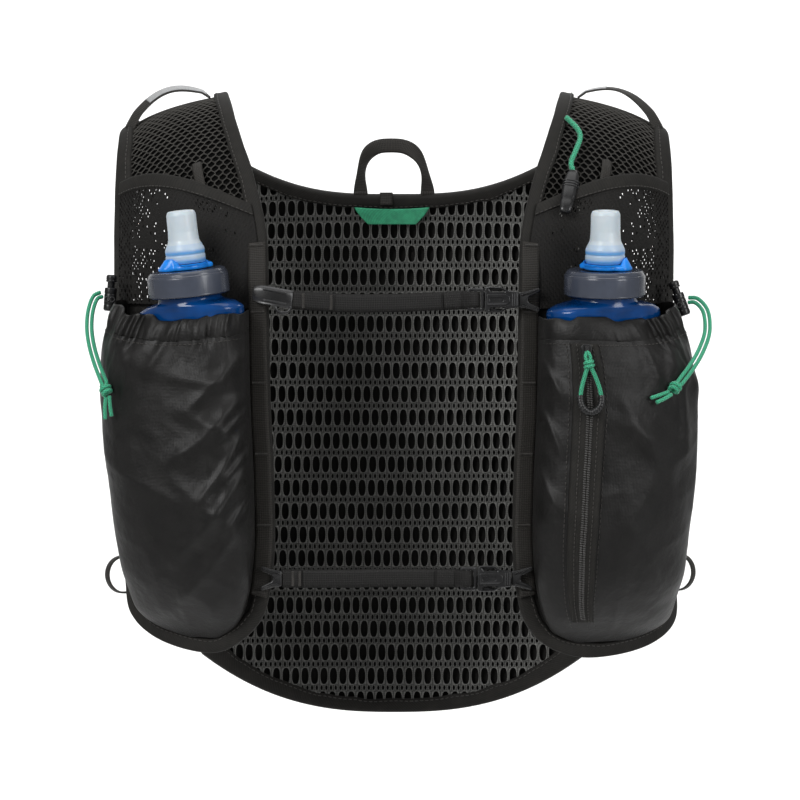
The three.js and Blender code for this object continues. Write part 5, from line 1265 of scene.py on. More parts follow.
def make_back_shell():
    def place(fall, wide, lift):
        down, across = back_place(fall, wide * 2 - 1, 4.0)
        x = np.abs(wide * 2 - 1)
        sag = 1.2 * wrinkle(across, down, 38, 5) * (1 - x ** 4)
        return on_form(-down, across, 4.3 + lift + 0.9 + sag * 0.5)

    shape = Shape()
    add_sheet(shape, *cloth(place, np.linspace(0, 1, 70), np.linspace(0, 1, 60), CLOTH_THICKNESS))
    made = shape.piece("back_shell_cloth", "stretch", replaces="back_shell")


BINDING_SECTION = np.array([
    (1.0, 0.70), (0.97, 0.9), (0.88, 0.99), (0.5, 0.96), (0.2, 1), (0.07, 0.92), (0.0, 0.7), (0.0, 0.3), (0.07, 0.08),
    (0.2, 0), (0.5, 0.03), (0.88, 0.0), (0.97, 0.1), (1.0, 0.30),
])


def add_binding(shape, edge, width, low, high, stitch_at=0.8, seed=1, both=True):
    """Tape folded over an edge. edge(distance) gives the tape lengths and places across of its line."""
    count = len(edge(0.0)[0])
    run = np.arange(count) * 1.0
    wave = 0.25 * wrinkle(run, run * 0, 9, seed) + 0.15 * wrinkle(run, run * 0, 4, seed + 1)
    wide = width * (1 + 0.25 * wave)
    rings = []
    for reach, level in BINDING_SECTION:
        down, across = edge(reach * wide)
        puff = 0.5 * wave * (1 if level > 0.5 else -1)
        rings.append(on_form(down, across, low + (high - low) * level + puff))
    rings = np.stack(rings, 1)
    add_tape(shape, rings, run_of(rings[count // 2]), run_of(rings[:, 3]))
    spacing = bpy.context.scene.vest_sizes.stitch_spacing / MM
    for face in ((high + 0.05, 1), (low - 0.05, -1)) if both else ((high + 0.05, 1),):
        down, across = edge(stitch_at * wide)
        seam = on_form(down, across, np.full(len(down), face[0]))
        normal = form_normal(down, across) * face[1]
        stitch_line(shape, seam, normal, spacing, finish=1)


def make_bindings():
    for side in SIDES:
        sign = SIGN[side]

        def edge(distance, side=side, sign=sign):
            line = inset(side, distance)
            return line[:, 0], sign * line[:, 1]

        shape = Shape()
        add_binding(shape, edge, BINDING_WIDTH, -1.0, 4.2, seed=11 if side == "left" else 17)
        shape.piece(f"panel_edge_{side}", "binding", "thread", replaces=f"panel_binding_{side}")

    falls = np.linspace(0, 1, 120)
    wides = np.linspace(-1, 1, 160)
    fall = np.concatenate([falls[:-1], np.ones(160), falls[::-1][1:]])
    wide = np.concatenate([-np.ones(119), wides, np.ones(119)])

    def hem(distance):
        down, across = back_place(fall, wide, np.broadcast_to(np.asarray(distance, float), fall.shape))
        return -down, across

    shape = Shape()
    add_binding(shape, hem, BINDING_WIDTH, -1.0, 6.6, seed=23)
    shape.piece("back_hem_edge", "binding", "thread", replaces="hem_binding")

    def neck(distance):
        across = np.linspace(-NECK_HALF_WIDTH - 1, NECK_HALF_WIDTH + 1, 150)
        return -(neckline(across) + distance), across

    shape = Shape()
    add_binding(shape, neck, BINDING_WIDTH, -1.2, 6.6, seed=29)
    shape.piece("back_neck_edge", "binding", "thread", replaces="neck_binding")


def make_neck_pieces():
    """Hang loop and plain tab at the back of the neck."""
    foot = on_form(-(NECK_DIP - 1.3), 0.0, (-1 + 6.5) / 2)
    half = 51 / 2 - 4.5
    angle = np.linspace(0, math.pi, 70)
    line = foot + np.stack([-half * squarish(np.cos(angle), 0.7) - 2.0 * np.sin(angle), 0 * angle,
                            -4 + 33.5 * np.sin(angle) ** 0.7], -1)
    line = resampled(line, 80)
    along = unit(np.gradient(line, axis=0))
    aside = np.cross(along, (0, -1, 0))
    share = np.linspace(0, 1, 80)
    turn = 1.5 * (np.exp(-((share - 0.2) / 0.12) ** 2) - np.exp(-((share - 0.8) / 0.12) ** 2))[:, None]
    aside = unit(aside + np.array([[0, 1, 0]]) * turn)
    shape = Shape()
    add_ribbon(shape, line - aside * 4.5, line + aside * 4.5, 1.3)
    for foot_at in (3, 76):
        for k in range(7):
            at = line[foot_at] + aside[foot_at] * (k - 3) * 1.1 - np.array([0, 0.8, 0])
            add_stitches(shape, [at], [along[foot_at]], [(0, -1, 0)], 2.6, 0.6, 0.4, finish=1)
    shape.piece("neck_hang_loop", "webbing", "thread", replaces="hang_loop")
    shape = Shape()

    def place(fall, wide, lift):
        edge = 47 + (30 - 47) * fall ** 1.3
        down = NECK_DIP + 7.9 + fall * 10 - 1.2 * (2 * wide - 1) ** 2 * (1 - fall)
        across = (2 * wide - 1) * edge / 2 - 1.5
        return on_form(-down, across, -2.9 + (1 - lift) * 0.9)

    add_sheet(shape, *cloth(place, np.linspace(0, 1, 12), np.linspace(0, 1, 40), 1.0))
    shape.piece("neck_tab", "tab", replaces="size_tab")
    shape = Shape()
    base = on_form(-(NECK_DIP + 1), -5.0, -1.5)
    left = np.array([base + (-4, -0.6, z) for z in np.linspace(3.6, -4.0, 12)])
    add_ribbon(shape, left, left + (8, 0, 0), 0.9)
    shape.piece("neck_loop_tape", "webbing")


# Straps and front panels

NET_EDGE = 4.5  # from the edge of a strap to its net, under the binding


def panel_grid(side, start, end, rows, columns, distance):
    """Places between the two edges of a panel, by rows from one share of its length to another."""
    inner, outer = branches(side, distance)
    half = OUTLINE_STEPS // 2
    at = np.linspace(start * half, end * half, rows)
    index = np.arange(half + 1)
    a, b = at_lengths(at, index, inner), at_lengths(at, index, outer)
    share = np.linspace(0, 1, columns)[None, :, None]
    both = a[:, None] * (1 - share) + b[:, None] * share
    return both[..., 0], both[..., 1]


def make_shoulder_nets():
    sizes = bpy.context.scene.vest_sizes
    pitch, strand = sizes.net_pitch / MM, sizes.net_strand / MM
    for side in SIDES:
        sign = SIGN[side]

        def place(flat, height, side=side, sign=sign):
            down = np.clip(flat[..., 1], -BACK_SEAM + 0.5, 205)
            low = edge_across(side, "inner", down, NET_EDGE)
            high = edge_across(side, "outer", down, NET_EDGE)
            return on_form(down, sign * np.clip(flat[..., 0], low, high), height)

        rows = np.arange(-BACK_SEAM - 2, 208, pitch * 0.78)
        columns = np.arange(50, 170, pitch)
        x, y = np.meshgrid(columns, rows)
        x = x + (np.arange(len(rows)) % 2)[:, None] * pitch / 2
        centres = np.stack([x.ravel(), y.ravel()], -1)
        low = edge_across(side, "inner", centres[:, 1], NET_EDGE) - pitch * 0.5
        high = edge_across(side, "outer", centres[:, 1], NET_EDGE) + pitch * 0.5
        centres = centres[(centres[:, 0] > low) & (centres[:, 0] < high)]
        border = HEX_RING * (pitch / 2, pitch * 0.78 / (1 + HEX_RING[0, 1]))
        hole = border * (1 - strand / pitch)
        shape = Shape()
        # the last numbers are relief values, painted light: a painted highlight along each strand's middle and painted
        # shade at its sides
        add_cells(shape, centres, [border, (border + hole) / 2, hole], [1.7, 2.0, 1.5], [0.4, 1, 0.6], place)
        back = Shape()
        # the strands' inner face gets painted shade
        add_cells(back, centres, [hole, hole * 1.02, border], [1.5, 0.8, 0.7], [0.6, 0, 0], place)
        inside = back.piece(f"shoulder_net_inner_face_{side}", "net")
        made = shape.piece(f"shoulder_net_knit_{side}", "net", replaces=f"shoulder_net_{side}")


def make_panels():
    """Linings under the nets and behind the flask pockets, and the stretch panels under the arms."""
    for side in SIDES:
        sign = SIGN[side]
        fall, wide = np.meshgrid(np.linspace(0, 1, 80), np.linspace(0, 1, 30), indexing="ij")
        low = UPPER_HEM["inner"] + (UPPER_HEM["outer"] - UPPER_HEM["inner"]) * wide + 3
        down = -BACK_SEAM + 0.5 + (low + BACK_SEAM) * fall
        inner, outer = edge_across(side, "inner", down, NET_EDGE), edge_across(side, "outer", down, NET_EDGE)
        across = inner + (outer - inner) * wide
        shape = Shape()
        add_sheet(shape, on_form(down, sign * across, 0.0 * down + 0.3), on_form(down, sign * across, 0.0 * down - 0.5))
        made = shape.piece(f"shoulder_lining_{side}", "lining")
        down, across = panel_grid(side, 0.53, 0.99, 60, 40, 5.0)
        bump = 0.3 * wrinkle(across, down, 20, 7)
        shape = Shape()
        add_sheet(shape, on_form(down, sign * across, 2.0 + bump), on_form(down, sign * across, 0.0 + bump))
        made = shape.piece(f"front_lining_{side}", "stretch", replaces=f"front_panel_{side}")

        def place(u, v, lift, side=side, sign=sign):
            front_down = chest_down(205 + (306 - 205) * v)
            back_down = BACK_ARC[2][-1] + 182 + (322 - 182) * v - 95
            low = np.full(u.shape, 0.9)
            front = on_form(front_down, sign * (edge_across(side, "outer", front_down) - 1.5), low)
            corner = BACK_LENGTH - HEM_RISE
            fall = np.clip((back_down - BACK_SEAM) / (corner - BACK_SEAM), 0, 1)
            back = on_form(-back_down, sign * (back_half_width(fall) - 1.5), low)
            chord = unit((back - front) * (1, 1, 0))
            outward = np.stack([chord[..., 1], -chord[..., 0], 0 * u], -1) * sign
            slack = 0.8 * wrinkle(u * 70, v * 110, 16, 31) * np.sin(math.pi * u)
            bow = 5 * 4 * u * (1 - u) + (lift - 0.5) * CLOTH_THICKNESS + slack
            return front * (1 - u[..., None]) + back * u[..., None] + outward * bow[..., None]

        shape = Shape()
        add_sheet(shape, *cloth(place, np.linspace(0, 1, 40), np.linspace(0, 1, 50), 1.0))
        seams = Shape()
        for v in (0.012, 0.988):
            stitch_cloth(seams, place, np.linspace(0.02, 0.98, 60), v, 1.1, 2.0, 3.2)
        sewn = seams.piece(f"side_stitches_{side}", "thread")
        made = shape.piece(f"side_stretch_{side}", "stretch", replaces=f"side_panel_{side}")


def make_upper_pockets():
    pitch = bpy.context.scene.vest_sizes.mesh_pitch / MM
    for side in SIDES:
        width, height = 88.0, 88.0  # the pocket's mesh laid flat

        def place(flat, lift, side=side, width=width, height=height):
            wide = np.clip(flat[..., 0] / width, 0, 1)
            fall = np.clip(flat[..., 1] / height, 0.0, 0.9)
            slack = 0.7 * wrinkle(flat[..., 0], flat[..., 1], 22, 41) * np.sin(math.pi * wide)
            return upper_place(side, fall, wide, lift + slack)

        x, y = np.meshgrid(np.arange(-1, width + 2, pitch), np.arange(0, height * 0.92, pitch * 0.86))
        x = x + (np.arange(x.shape[0]) % 2)[:, None] * pitch / 2
        centres = np.stack([x.ravel(), y.ravel()], -1)
        border = HEX_RING * (pitch / 2, pitch * 0.86 / (1 + HEX_RING[0, 1]))
        shape = Shape()
        drawn = 0.7 * wrinkle(centres[:, 0], centres[:, 1], 14, 43) + centres[:, 0] / width * 1.5
        chance = np.random.default_rng(44).random(len(centres))
        stretched = chance < 0.8 * np.clip((drawn - 0.5) / 0.75, 0, 1)
        for part, hole in ((stretched, HEX_RING * (0.46, 1.05)), (~stretched, HEX_RING * (0.13, 0.26))):
            add_cells(shape, centres[part], [border, hole * 1.4, hole, hole], [0.9, 1.1, 0.8, 0.1], [0.3, 1, 0.3, 0],
                      place)
        made = shape.piece(f"upper_pocket_mesh_{side}", "stretch", replaces=f"upper_pocket_{side}")
        shape = Shape()
        u = np.linspace(0, 1, 120)
        tall = 10.0 / 90
        rings = []
        for reach, level in BINDING_SECTION:
            lift = -0.1 + 2.0 * level + 0.15 * wrinkle(u * 90, u * 0, 6, 3)
            rings.append(upper_place(side, (reach - 0.05) * tall, u, lift))
        add_tape(shape, np.stack(rings, 1), np.linspace(0, 24, len(rings)), u * 95)
        stitch_cloth(shape, partial(upper_place, side), 0.86 * tall, u, 2.0, 4.0, 2.8, finish=1)
        shape.piece(f"upper_pocket_hem_{side}", "binding", "thread", replaces=f"upper_hem_{side}")


# Flask pockets

FLAT_WIDE, FLAT_TALL = 96, 178  # a flask pocket's face laid flat
GATHERS = {"left": (0.04, 0.96), "right": (0.46, 0.98)}
CREASES = {
    # long folds drawn on the cloth: start and end as (wide, fall), height and breadth in millimetres
    "left": [
        ((0.46, 0.02), (0.6, 0.18), 1.8, 3.5), ((0.02, 0.12), (0.4, 0.27), 2.6, 4.6),
        ((0.02, 0.25), (0.5, 0.42), 3.0, 5.0),
        ((0.03, 0.36), (0.36, 0.56), 2.2, 3.6), ((0.02, 0.47), (0.5, 0.74), 3.4, 5.6),
        ((0.06, 0.62), (0.5, 0.9), 2.6, 5.2),
        ((0.0, 0.3), (0.22, 0.37), 1.8, 2.0), ((0.0, 0.42), (0.2, 0.5), 1.8, 2.0), ((0.0, 0.55), (0.2, 0.66), 1.6, 2.2),
        ((0.7, 0.12), (0.9, 0.3), 1.2, 5.0),
    ],
    "right": [
        ((0.0, 0.1), (0.17, 0.26), 1.8, 2.6), ((0.0, 0.26), (0.16, 0.42), 2.0, 2.6),
        ((0.0, 0.44), (0.16, 0.6), 1.6, 2.8),
        ((0.44, 0.22), (0.62, 0.42), 1.8, 4.0), ((0.72, 0.08), (0.8, 0.42), 2.0, 4.4),
        ((0.88, 0.15), (0.9, 0.6), 1.6, 4.4),
        ((0.5, 0.62), (0.8, 0.85), 1.6, 5.0), ((0.6, 0.08), (0.64, 0.22), 1.4, 3.0),
    ],
}


def pocket_relief(side, fall, wide):
    """Height of the creases, gathers and crumple on a flask pocket, in millimetres."""
    x, z = wide * FLAT_WIDE, fall * FLAT_TALL
    warp = 4 * wrinkle(x, z, 34, 51), 4 * wrinkle(x, z, 34, 52)
    height = 0
    for *ends, high, broad in CREASES[side]:
        a, b = np.array(ends) * (FLAT_WIDE, FLAT_TALL)
        way = b - a
        t = ((x + warp[0] - a[0]) * way[0] + (z + warp[1] - a[1]) * way[1]) / (way @ way)
        off = ((x + warp[0] - a[0]) * way[1] - (z + warp[1] - a[1]) * way[0]) / np.linalg.norm(way)
        ends = eased(np.clip(np.minimum(t + 0.15, 1.15 - t) / 0.35, 0, 1))
        height = height + high * ends / (1 + (off / broad) ** 2) ** 1.5
    crumple = bpy.context.scene.vest_sizes.crumple / MM
    for size, share, seed in ((38, 1.5, 61), (19, 0.6, 62), (8, 0.14, 63)):
        n = wrinkle(x + warp[0], z * 0.8 + x * 0.35 + warp[1], size, seed + SIGN[side])
        height = height + crumple * share * (1 - 2.2 * np.abs(n)) * 0.8
    start, end = GATHERS[side]
    inside = np.clip((wide - start) / (end - start), 0, 1)
    bent = x + 2.5 * wrinkle(x, z, 11, 74)
    pleat = 0.9 - 3.0 * np.abs(wrinkle(bent, 0.14 * z, 6.5, 71)) + 0.5 * wrinkle(bent, 0.22 * z, 2.8, 76)
    uneven = 0.75 + 0.65 * wrinkle(x, 0 * x, 19, 72)
    fade = np.exp(-np.maximum(fall - HEM_SHARE, 0) * FLAT_TALL / (6 + 9 * np.abs(wrinkle(x, 0 * x, 17, 73))))
    height = height + 1.9 * uneven * pleat * fade * np.clip(np.sin(math.pi * inside), 0, 1) ** 0.3
    edge = np.clip(np.minimum(wide, 1 - wide) / 0.05, 0, 1) * np.clip((1 - fall) / 0.04, 0, 1)
    return height * edge


def make_flask_pockets():
    for side in SIDES:
        def place(fall, wide, lift, side=side):
            return pocket_place(side, fall, wide, lift, pocket_relief(side, fall, wide))

        shape = Shape()
        falls = HEM_SHARE * 0.85 + (1 - HEM_SHARE * 0.85) * (1 - (1 - np.linspace(0, 1, 156)) ** 1.25)
        wides = (1 - np.cos(math.pi * np.linspace(0, 1, 138))) / 2
        add_sheet(shape, *cloth(place, falls, wides, CLOTH_THICKNESS))
        seams = Shape()
        above = CLOTH_THICKNESS + 0.1
        stitch_cloth(seams, place, HEM_SHARE * 1.16, np.linspace(0.01, 0.99, 200), above, 4.0, 3.0)
        if side == "right":
            for wide in (0.185, 0.355):
                stitch_cloth(seams, place, np.linspace(0.075, 0.95, 260), wide, above, 4.0, 3.0)
        sewn = seams.piece(f"flask_pocket_stitches_{side}", "thread")
        made = shape.piece(f"flask_pocket_cloth_{side}", "ripstop", replaces=f"flask_pocket_{side}")
        hem = Shape()
        u = (1 - np.cos(math.pi * np.linspace(0, 1, 260))) / 2
        section = [(0.98, 0.2), (1.0, 0.7), (0.93, 1.1), (0.75, 1.75), (0.5, 2.15), (0.25, 1.95), (0.06, 1.3),
                   (0.0, 0.6),
                   (0.02, 0.0), (0.3, -0.4), (0.7, -0.4)]
        rings = []
        wave = 0.012 * wrinkle(u * FLAT_WIDE, u * 0, 7, 75 + SIGN[side]) * np.sin(math.pi * u) ** 0.4
        for reach, lift in section:
            fall = reach * HEM_SHARE + wave * (1 - reach)
            relief = pocket_relief(side, np.full_like(u, HEM_SHARE * max(reach, 0.15)), u)
            rings.append(pocket_place(side, fall, u, lift + 0.2, relief * (1.25 if lift > 0.5 else 1)))
        rings = np.stack(rings, 1)
        add_tape(hem, rings, np.linspace(0, 30, len(section)), run_of(rings[:, 4]))
        tunnel = hem.piece(f"flask_pocket_hem_{side}", "ripstop", replaces=f"pocket_hem_{side}")


# Webbing


def bar_tack(shape, middle, along, wide, normal, width=8.0, height=1.8, finish=1):
    """A dense zigzag of thread across a strap."""
    count = int(width / 0.65)
    offsets = (np.arange(count) - (count - 1) / 2) * 0.65
    middles = np.asarray(middle)[None] + unit(np.asarray(wide))[None] * offsets[:, None]
    tilt = unit(np.asarray(along)) + unit(np.asarray(wide)) * 0.22
    add_stitches(shape, middles, np.tile(tilt, (count, 1)), np.tile(normal, (count, 1)), height, 0.6, 0.45, finish)


def make_rails():
    for side in SIDES:
        sign = SIGN[side]
        u = np.linspace(0, 1, 260)
        down = 150 + (352 - 150) * u
        slack = 0.9 * np.sin(u * 5 * math.pi) ** 2
        across = edge_across(side, "inner", down) + 0.5
        lift = 5.6 + slack
        shape = Shape()
        left = on_form(down, sign * across, lift)
        right = on_form(down, sign * (across + RAIL_WIDTH), lift)
        add_ribbon(shape, *(left, right) if sign > 0 else (right, left), WEBBING_THICKNESS)
        for k in range(6):
            at = np.clip(k / 5, 0.008, 0.992)
            i = int(at * 259)
            normal = form_normal(down[i], sign * (across[i] + 5))
            middle = (left[i] + right[i]) / 2 + normal * 0.75
            bar_tack(shape, middle, left[min(i + 1, 259)] - left[i - 1 if i else 0], right[i] - left[i], normal)
        shape.piece(f"rail_webbing_{side}", "webbing", "thread", replaces=f"webbing_rail_{side}")
        tab = Shape()
        where = 0.336 if side == "left" else 0.48
        top = UPPER_HEM["inner"] + (UPPER_HEM["outer"] - UPPER_HEM["inner"]) * where
        u = np.linspace(0, 1, 40)
        down = top - 19 + 18 * u
        inner, outer = edge_across(side, "inner", down, 7.8), edge_across(side, "outer", down, 7.8)
        middle = inner + (outer - inner) * where
        lift = NET_THICKNESS + (0.5 if side == "left" else -0.4) + 1.6 * np.sin(math.pi * u * 0.8) + 0.6
        a = on_form(down, sign * (middle - 2.75), lift)
        b = on_form(down, sign * (middle + 2.75), lift)
        add_ribbon(tab, *(a, b) if sign > 0 else (b, a), 1.2)
        normal = form_normal(down[36], sign * middle[36])
        bar_tack(tab, (a[37] + b[37]) / 2 + normal * 0.8, a[38] - a[36], b[37] - a[37], normal, 5, 1.6)
        tab.piece(f"tube_tab_webbing_{side}", "webbing", "thread", replaces=f"tube_tab_{side}")
        loop = Shape()
        down = chest_down(291.0)
        root = on_form(down, sign * (edge_across(side, "outer", down) + 0.3), 1.0)
        angle = np.linspace(-0.12, math.pi + 0.12, 40)
        reach = WEBBING_THICKNESS + 2 + 9 * np.sin(np.clip(angle, 0, math.pi)) - 4.0 * ((angle < 0) | (angle > math.pi))
        line = root + np.stack([sign * reach, 6 + 0 * reach, 10.5 * np.cos(angle)], -1)
        line = resampled(line, 40)
        aside = unit(np.array([sign * 0.55, 1.0, 0])) * 3.2
        add_ribbon(loop, line - aside, line + aside, 1.2)
        loop.piece(f"side_loop_webbing_{side}", "webbing", replaces=f"side_loop_{side}")
        pole = Shape()
        inner = on_form(10.0, sign * 109.0, 4.0)
        outer = on_form(22.0, sign * 155.0, 4.3)
        u = np.linspace(0, 1, 60)[:, None]
        line = outer * (1 - u) + inner * u + np.array([0, 0, 1]) * (0.3 + 12 * np.sin(math.pi * u ** 0.85))
        line[:, 2] -= 2.2 * np.clip(1 - u[:, 0] / 0.1, 0, 1) + 2.2 * np.clip((u[:, 0] - 0.9) / 0.1, 0, 1)
        wide = unit(np.array([[sign * 1.6, 0, 0]]) * np.maximum(0, 0.6 - u) + np.array([[0, 1, 0.12]])
                    + np.array([[0, 0, 0.45 if side == "left" else 0.16]]) * np.sin(math.pi * u) ** 0.7
                    + np.array([[0, 0, 0.0 if side == "left" else 0.5]]) * np.maximum(0, 0.5 - u))
        along = unit(np.gradient(line, axis=0))
        wide = unit(wide - along * (wide * along).sum(-1, keepdims=True))
        add_ribbon(pole, line - wide * 4.5, line + wide * 4.5, 1.2)
        up = np.cross(along, wide)
        up *= np.sign(up[30, 2])
        face = slice(14, 57) if side == "left" else slice(38, 58)
        add_ribbon(pole, (line - wide * 3.2 + up * 0.72)[face], (line + wide * 3.2 + up * 0.72)[face], 0.35, finish=1)
        pole.piece(f"pole_loop_tape_{side}", "webbing", "reflective", replaces=f"pole_loop_{side}")


def strap_frame(level):
    down = STRAP_DOWN[level]
    rail = form_point(down, edge_across("left", "inner", down) + RAIL_WIDTH / 2)
    return rail[1] - 8.1, rail[2]


def make_straps():
    for level, start, end, sag, overlap in (("upper", -57.5, 41.7, 2, -34), ("lower", -63.5, 37.7, 0, -52)):
        y, z = strap_frame(level)
        shape = Shape()
        u = np.linspace(0, 1, 120)
        drop = sag * np.sin(math.pi * u) + 0.35 * wrinkle(u * 100, u * 0, 18, 71)
        x = start + (end - start) * u
        line = np.stack([x, np.full_like(u, y - 0.6), z - drop], -1)
        add_ribbon(shape, line - (0, 0, STRAP_WIDTH / 2), line + (0, 0, STRAP_WIDTH / 2), 1.2)
        under = line[u < (overlap - start) / (end - start)] - np.array([0, 1.25, 0])
        add_ribbon(shape, under - (0, 0, 4.9), under + (0, 0, 4.9), 1.1)
        front = np.array([0, -1.0, 0])
        for x_at in (start + 6, overlap - 1.6):
            bar_tack(shape, (x_at, y - 2.45, z - np.interp(x_at, x, drop)), (1, 0, 0), (0, 0, 1), front, 8.5, 1.9)
        tail = line[u > 0.86] - np.array([0, 1.25, 0])
        add_ribbon(shape, tail - (0, 0, 4.9), tail + (0, 0, 4.9), 1.1)
        shape.piece(f"sternum_webbing_{level}", "strap", "thread", replaces=f"sternum_strap_{level}")


# Buckles, hooks and clip


def upright(y):
    """Places a flat moulding's pairs in X and Z, with its height towards the front from y."""
    def place(points):
        return np.stack([points[:, 0], y - points[:, 2], points[:, 1]], -1)
    return place


def box_outline(x0, x1, z0, z1, radius=0.8):
    return round_corners([(x0, z0), (x1, z0), (x1, z1), (x0, z1)], radius)


def add_fork(shape, root, z, y, way):
    """Two-pronged hook, with a raised spine along each prong."""
    def turned_line(line):
        line = [(root + way * x, z + up) for x, up in line]
        return line if way > 0 else line[::-1]
    outline = [(0, -4.25), (3.5, -4.6), (11.7, -7), (11.9, -4.6), (5.6, -1.6), (5.2, 0), (5.6, 1.6), (11.9, 4.6),
               (11.7, 7), (3.5, 4.6), (0, 4.25)]
    add_moulding(shape, turned_line(round_corners(outline, 0.9)), [], 0, 3, upright(y), 0.6)
    for s in (-1, 1):
        spine = [(1.5, s * 1.8), (1.5, s * 3.2), (10.6, s * 6.1), (10.9, s * 5.3)]
        spine = spine if s > 0 else spine[::-1]
        add_moulding(shape, turned_line(round_corners(spine[::-1], 0.4)), [], 2.6, 3.5, upright(y), 0.3)


def make_buckles():
    for level, end in (("upper", 41.7), ("lower", 37.7)):
        y, z = strap_frame(level)
        x = end + 0.3
        plug = Shape()
        outline = round_corners([(x, z - 6.2), (x + 2, z - 6.7), (x + 9.4, z - 6.7), (x + 9.4, z + 6.7),
                                 (x + 2, z + 6.7),
                                 (x, z + 6.2)], 1.0)
        holes = [box_outline(x + 1.9, x + 3.8, z - 4.9, z + 4.9, 0.5),
                 box_outline(x + 5.4, x + 7.5, z - 4.9, z + 4.9, 0.5)]
        add_moulding(plug, outline, holes, 0, 4.5, upright(y), 0.6)
        line = np.array([(x - 3, y - 2.4, z), (x + 1.5, y - 4.7, z), (x + 4.6, y - 5.1, z), (x + 6.2, y - 4.2, z),
                         (x + 6.8, y - 1.5, z)])
        line = resampled(spline(line, np.linspace(0, 1, 40)), 40)
        add_ribbon(plug, line - (0, 0, 4.6), line + (0, 0, 4.6), 1.1, finish=1)
        plug.piece(f"plug_frame_{level}", "acetal", "strap", replaces=f"buckle_plug_{level}")
        socket = Shape()
        x += 9.4 + 0.3
        half, waist = 7.25, 4.5
        outline = [(x, z - half + 1), (x + 0.8, z - half), (x + 9.5, z - half), (x + 13, z - waist - 0.6),
                   (x + 19.3, z - waist), (x + 19.3, z + waist), (x + 13, z + waist + 0.6), (x + 9.5, z + half),
                   (x + 0.8, z + half), (x, z + half - 1)]
        windows = [round_corners([(x + 2.6, z + s * 6.2), (x + 9.3, z + s * 6.1), (x + 11.6, z + s * 4.6),
                                  (x + 4.0, z + s * 4.4)][::s], 0.6) for s in (1, -1)]
        add_moulding(socket, round_corners(outline, 1.2), windows, 0, 6, upright(y), 0.8)
        ridge = round_corners([(x + 1.2, z - 3.1), (x + 12, z - 3.1), (x + 14.5, z - 1.6), (x + 14.5, z + 1.6),
                               (x + 12, z + 3.1), (x + 1.2, z + 3.1)], 0.9)
        slot = box_outline(x + 3.0, x + 10.5, z - 1.1, z + 1.1, 0.9)
        add_moulding(socket, ridge, [slot], 5.4, 6.6, upright(y), 0.4)
        for s in (-1, 1):
            arm = [(x + 2.8, z + s * 4.7), (x + 3.2, z + s * 6.6), (x + 8.6, z + s * 6.5), (x + 10.4, z + s * 5.0)]
            add_moulding(socket, round_corners(arm if s < 0 else arm[::-1], 0.5), [], 1.4, 4.2, upright(y), 0.4)
        for k in range(3):
            rib = box_outline(x + 15.4 + k * 1.3, x + 16.1 + k * 1.3, z - 3.6, z + 3.6, 0.3)
            add_moulding(socket, rib, [], 5.6, 6.3, upright(y), 0.25)
        socket.piece(f"socket_body_{level}", "acetal", replaces=f"buckle_socket_{level}")
        fork = Shape()
        add_fork(fork, x + 19.6, z, y, 1)
        fork.piece(f"rail_fork_right_{level}", "acetal", replaces=f"hook_right_{level}")
    y, z = strap_frame("lower")
    fork = Shape()
    add_fork(fork, -63.8, z, y, -1)
    fork.piece("rail_fork_left_lower", "acetal", replaces="hook_left_lower")
    y, z = strap_frame("upper")
    clip = Shape()
    t = np.linspace(0, 1, 40)
    bow = 1.9 * np.sin(math.pi * np.clip(t, 0, 1)) ** 0.8
    line = np.stack([-57.8 - t * 22, y - 1.1 - bow, z + 4 * t], -1)
    wide = np.array([0, 0, 1.0]) * (5.25 - 1.6 * np.clip((t - 0.75) / 0.25, 0, 1)[:, None] ** 2)
    add_ribbon(clip, line - wide, line + wide, 2.2, crown=0.3)
    for s in (-1, 1):
        rail = line[6:30] + np.array([0, -1.2, 0]) + np.array([0, 0, s * 3.1])
        add_tube(clip, rail, 0.7, 8)
    ring = np.array([line[9] + (0, -0.4, 0) + np.array([4.2 * math.cos(a), -1.2, -5.2 + 3.2 * math.sin(a)])
                     for a in np.linspace(math.pi * 0.95, math.pi * 2.05, 24)])
    add_tube(clip, ring, 0.9, 10)
    clip.piece("rail_clip_left_upper", "acetal", replaces="clip_left_upper")


# Flasks

FLASK_BREADTH = {"left": 0.02, "right": 0.1}
FLASK_RINGS = np.array([
    # drop below the cap, half width, half depth, distance out, tilt
    (0.5, 0.76, 0.76, 1.16, 1), (3.2, 0.8, 0.78, 1.15, 1), (5, 1.12, 0.84, 1.12, 1), (8, 1.33, 0.86, 1.08, 0.9),
    (14, 1.38, 0.88, 1.02, 0.6), (30, 1.4, 0.92, 0.98, 0.2), (80, 1.4, 0.92, 0.96, 0), (120, 1.36, 0.82, 0.9, 0),
    (146, 1.22, 0.6, 0.74, 0), (162, 1, 0.36, 0.58, 0), (170, 0.7, 0.18, 0.48, 0),
])


def flask_frame(side):
    """Directions of a flask, out of the chest, to the side and along its axis, and the seat of its cap."""
    sign, yaw = SIGN[side], math.radians(FLASK_YAW)
    out = np.array([sign * math.sin(yaw), -math.cos(yaw), 0])
    aside = np.array([sign * math.cos(yaw), math.sin(yaw), 0])
    axis = np.array([0, 0, 1]) + out * math.tan(math.radians(FLASK_TILT))
    axis = unit(axis + aside * math.tan(math.radians(FLASK[side]["lean"])))
    reach = FLASK_OUT * FLASK_RINGS[0, 3]
    base = form_point(chest_down(CAP_DOWN), sign * (FLASK[side]["across"] - math.sin(yaw) * reach))
    turn = Vector((0, 0, 1)).rotation_difference(Vector(axis))
    return out, aside, axis, turn, base + out * reach


def turned_by(side):
    """Places points from a flask's own axes."""
    *_, turn, seat = flask_frame(side)
    matrix = np.array(turn.to_matrix())
    return lambda own: own @ matrix.T + seat


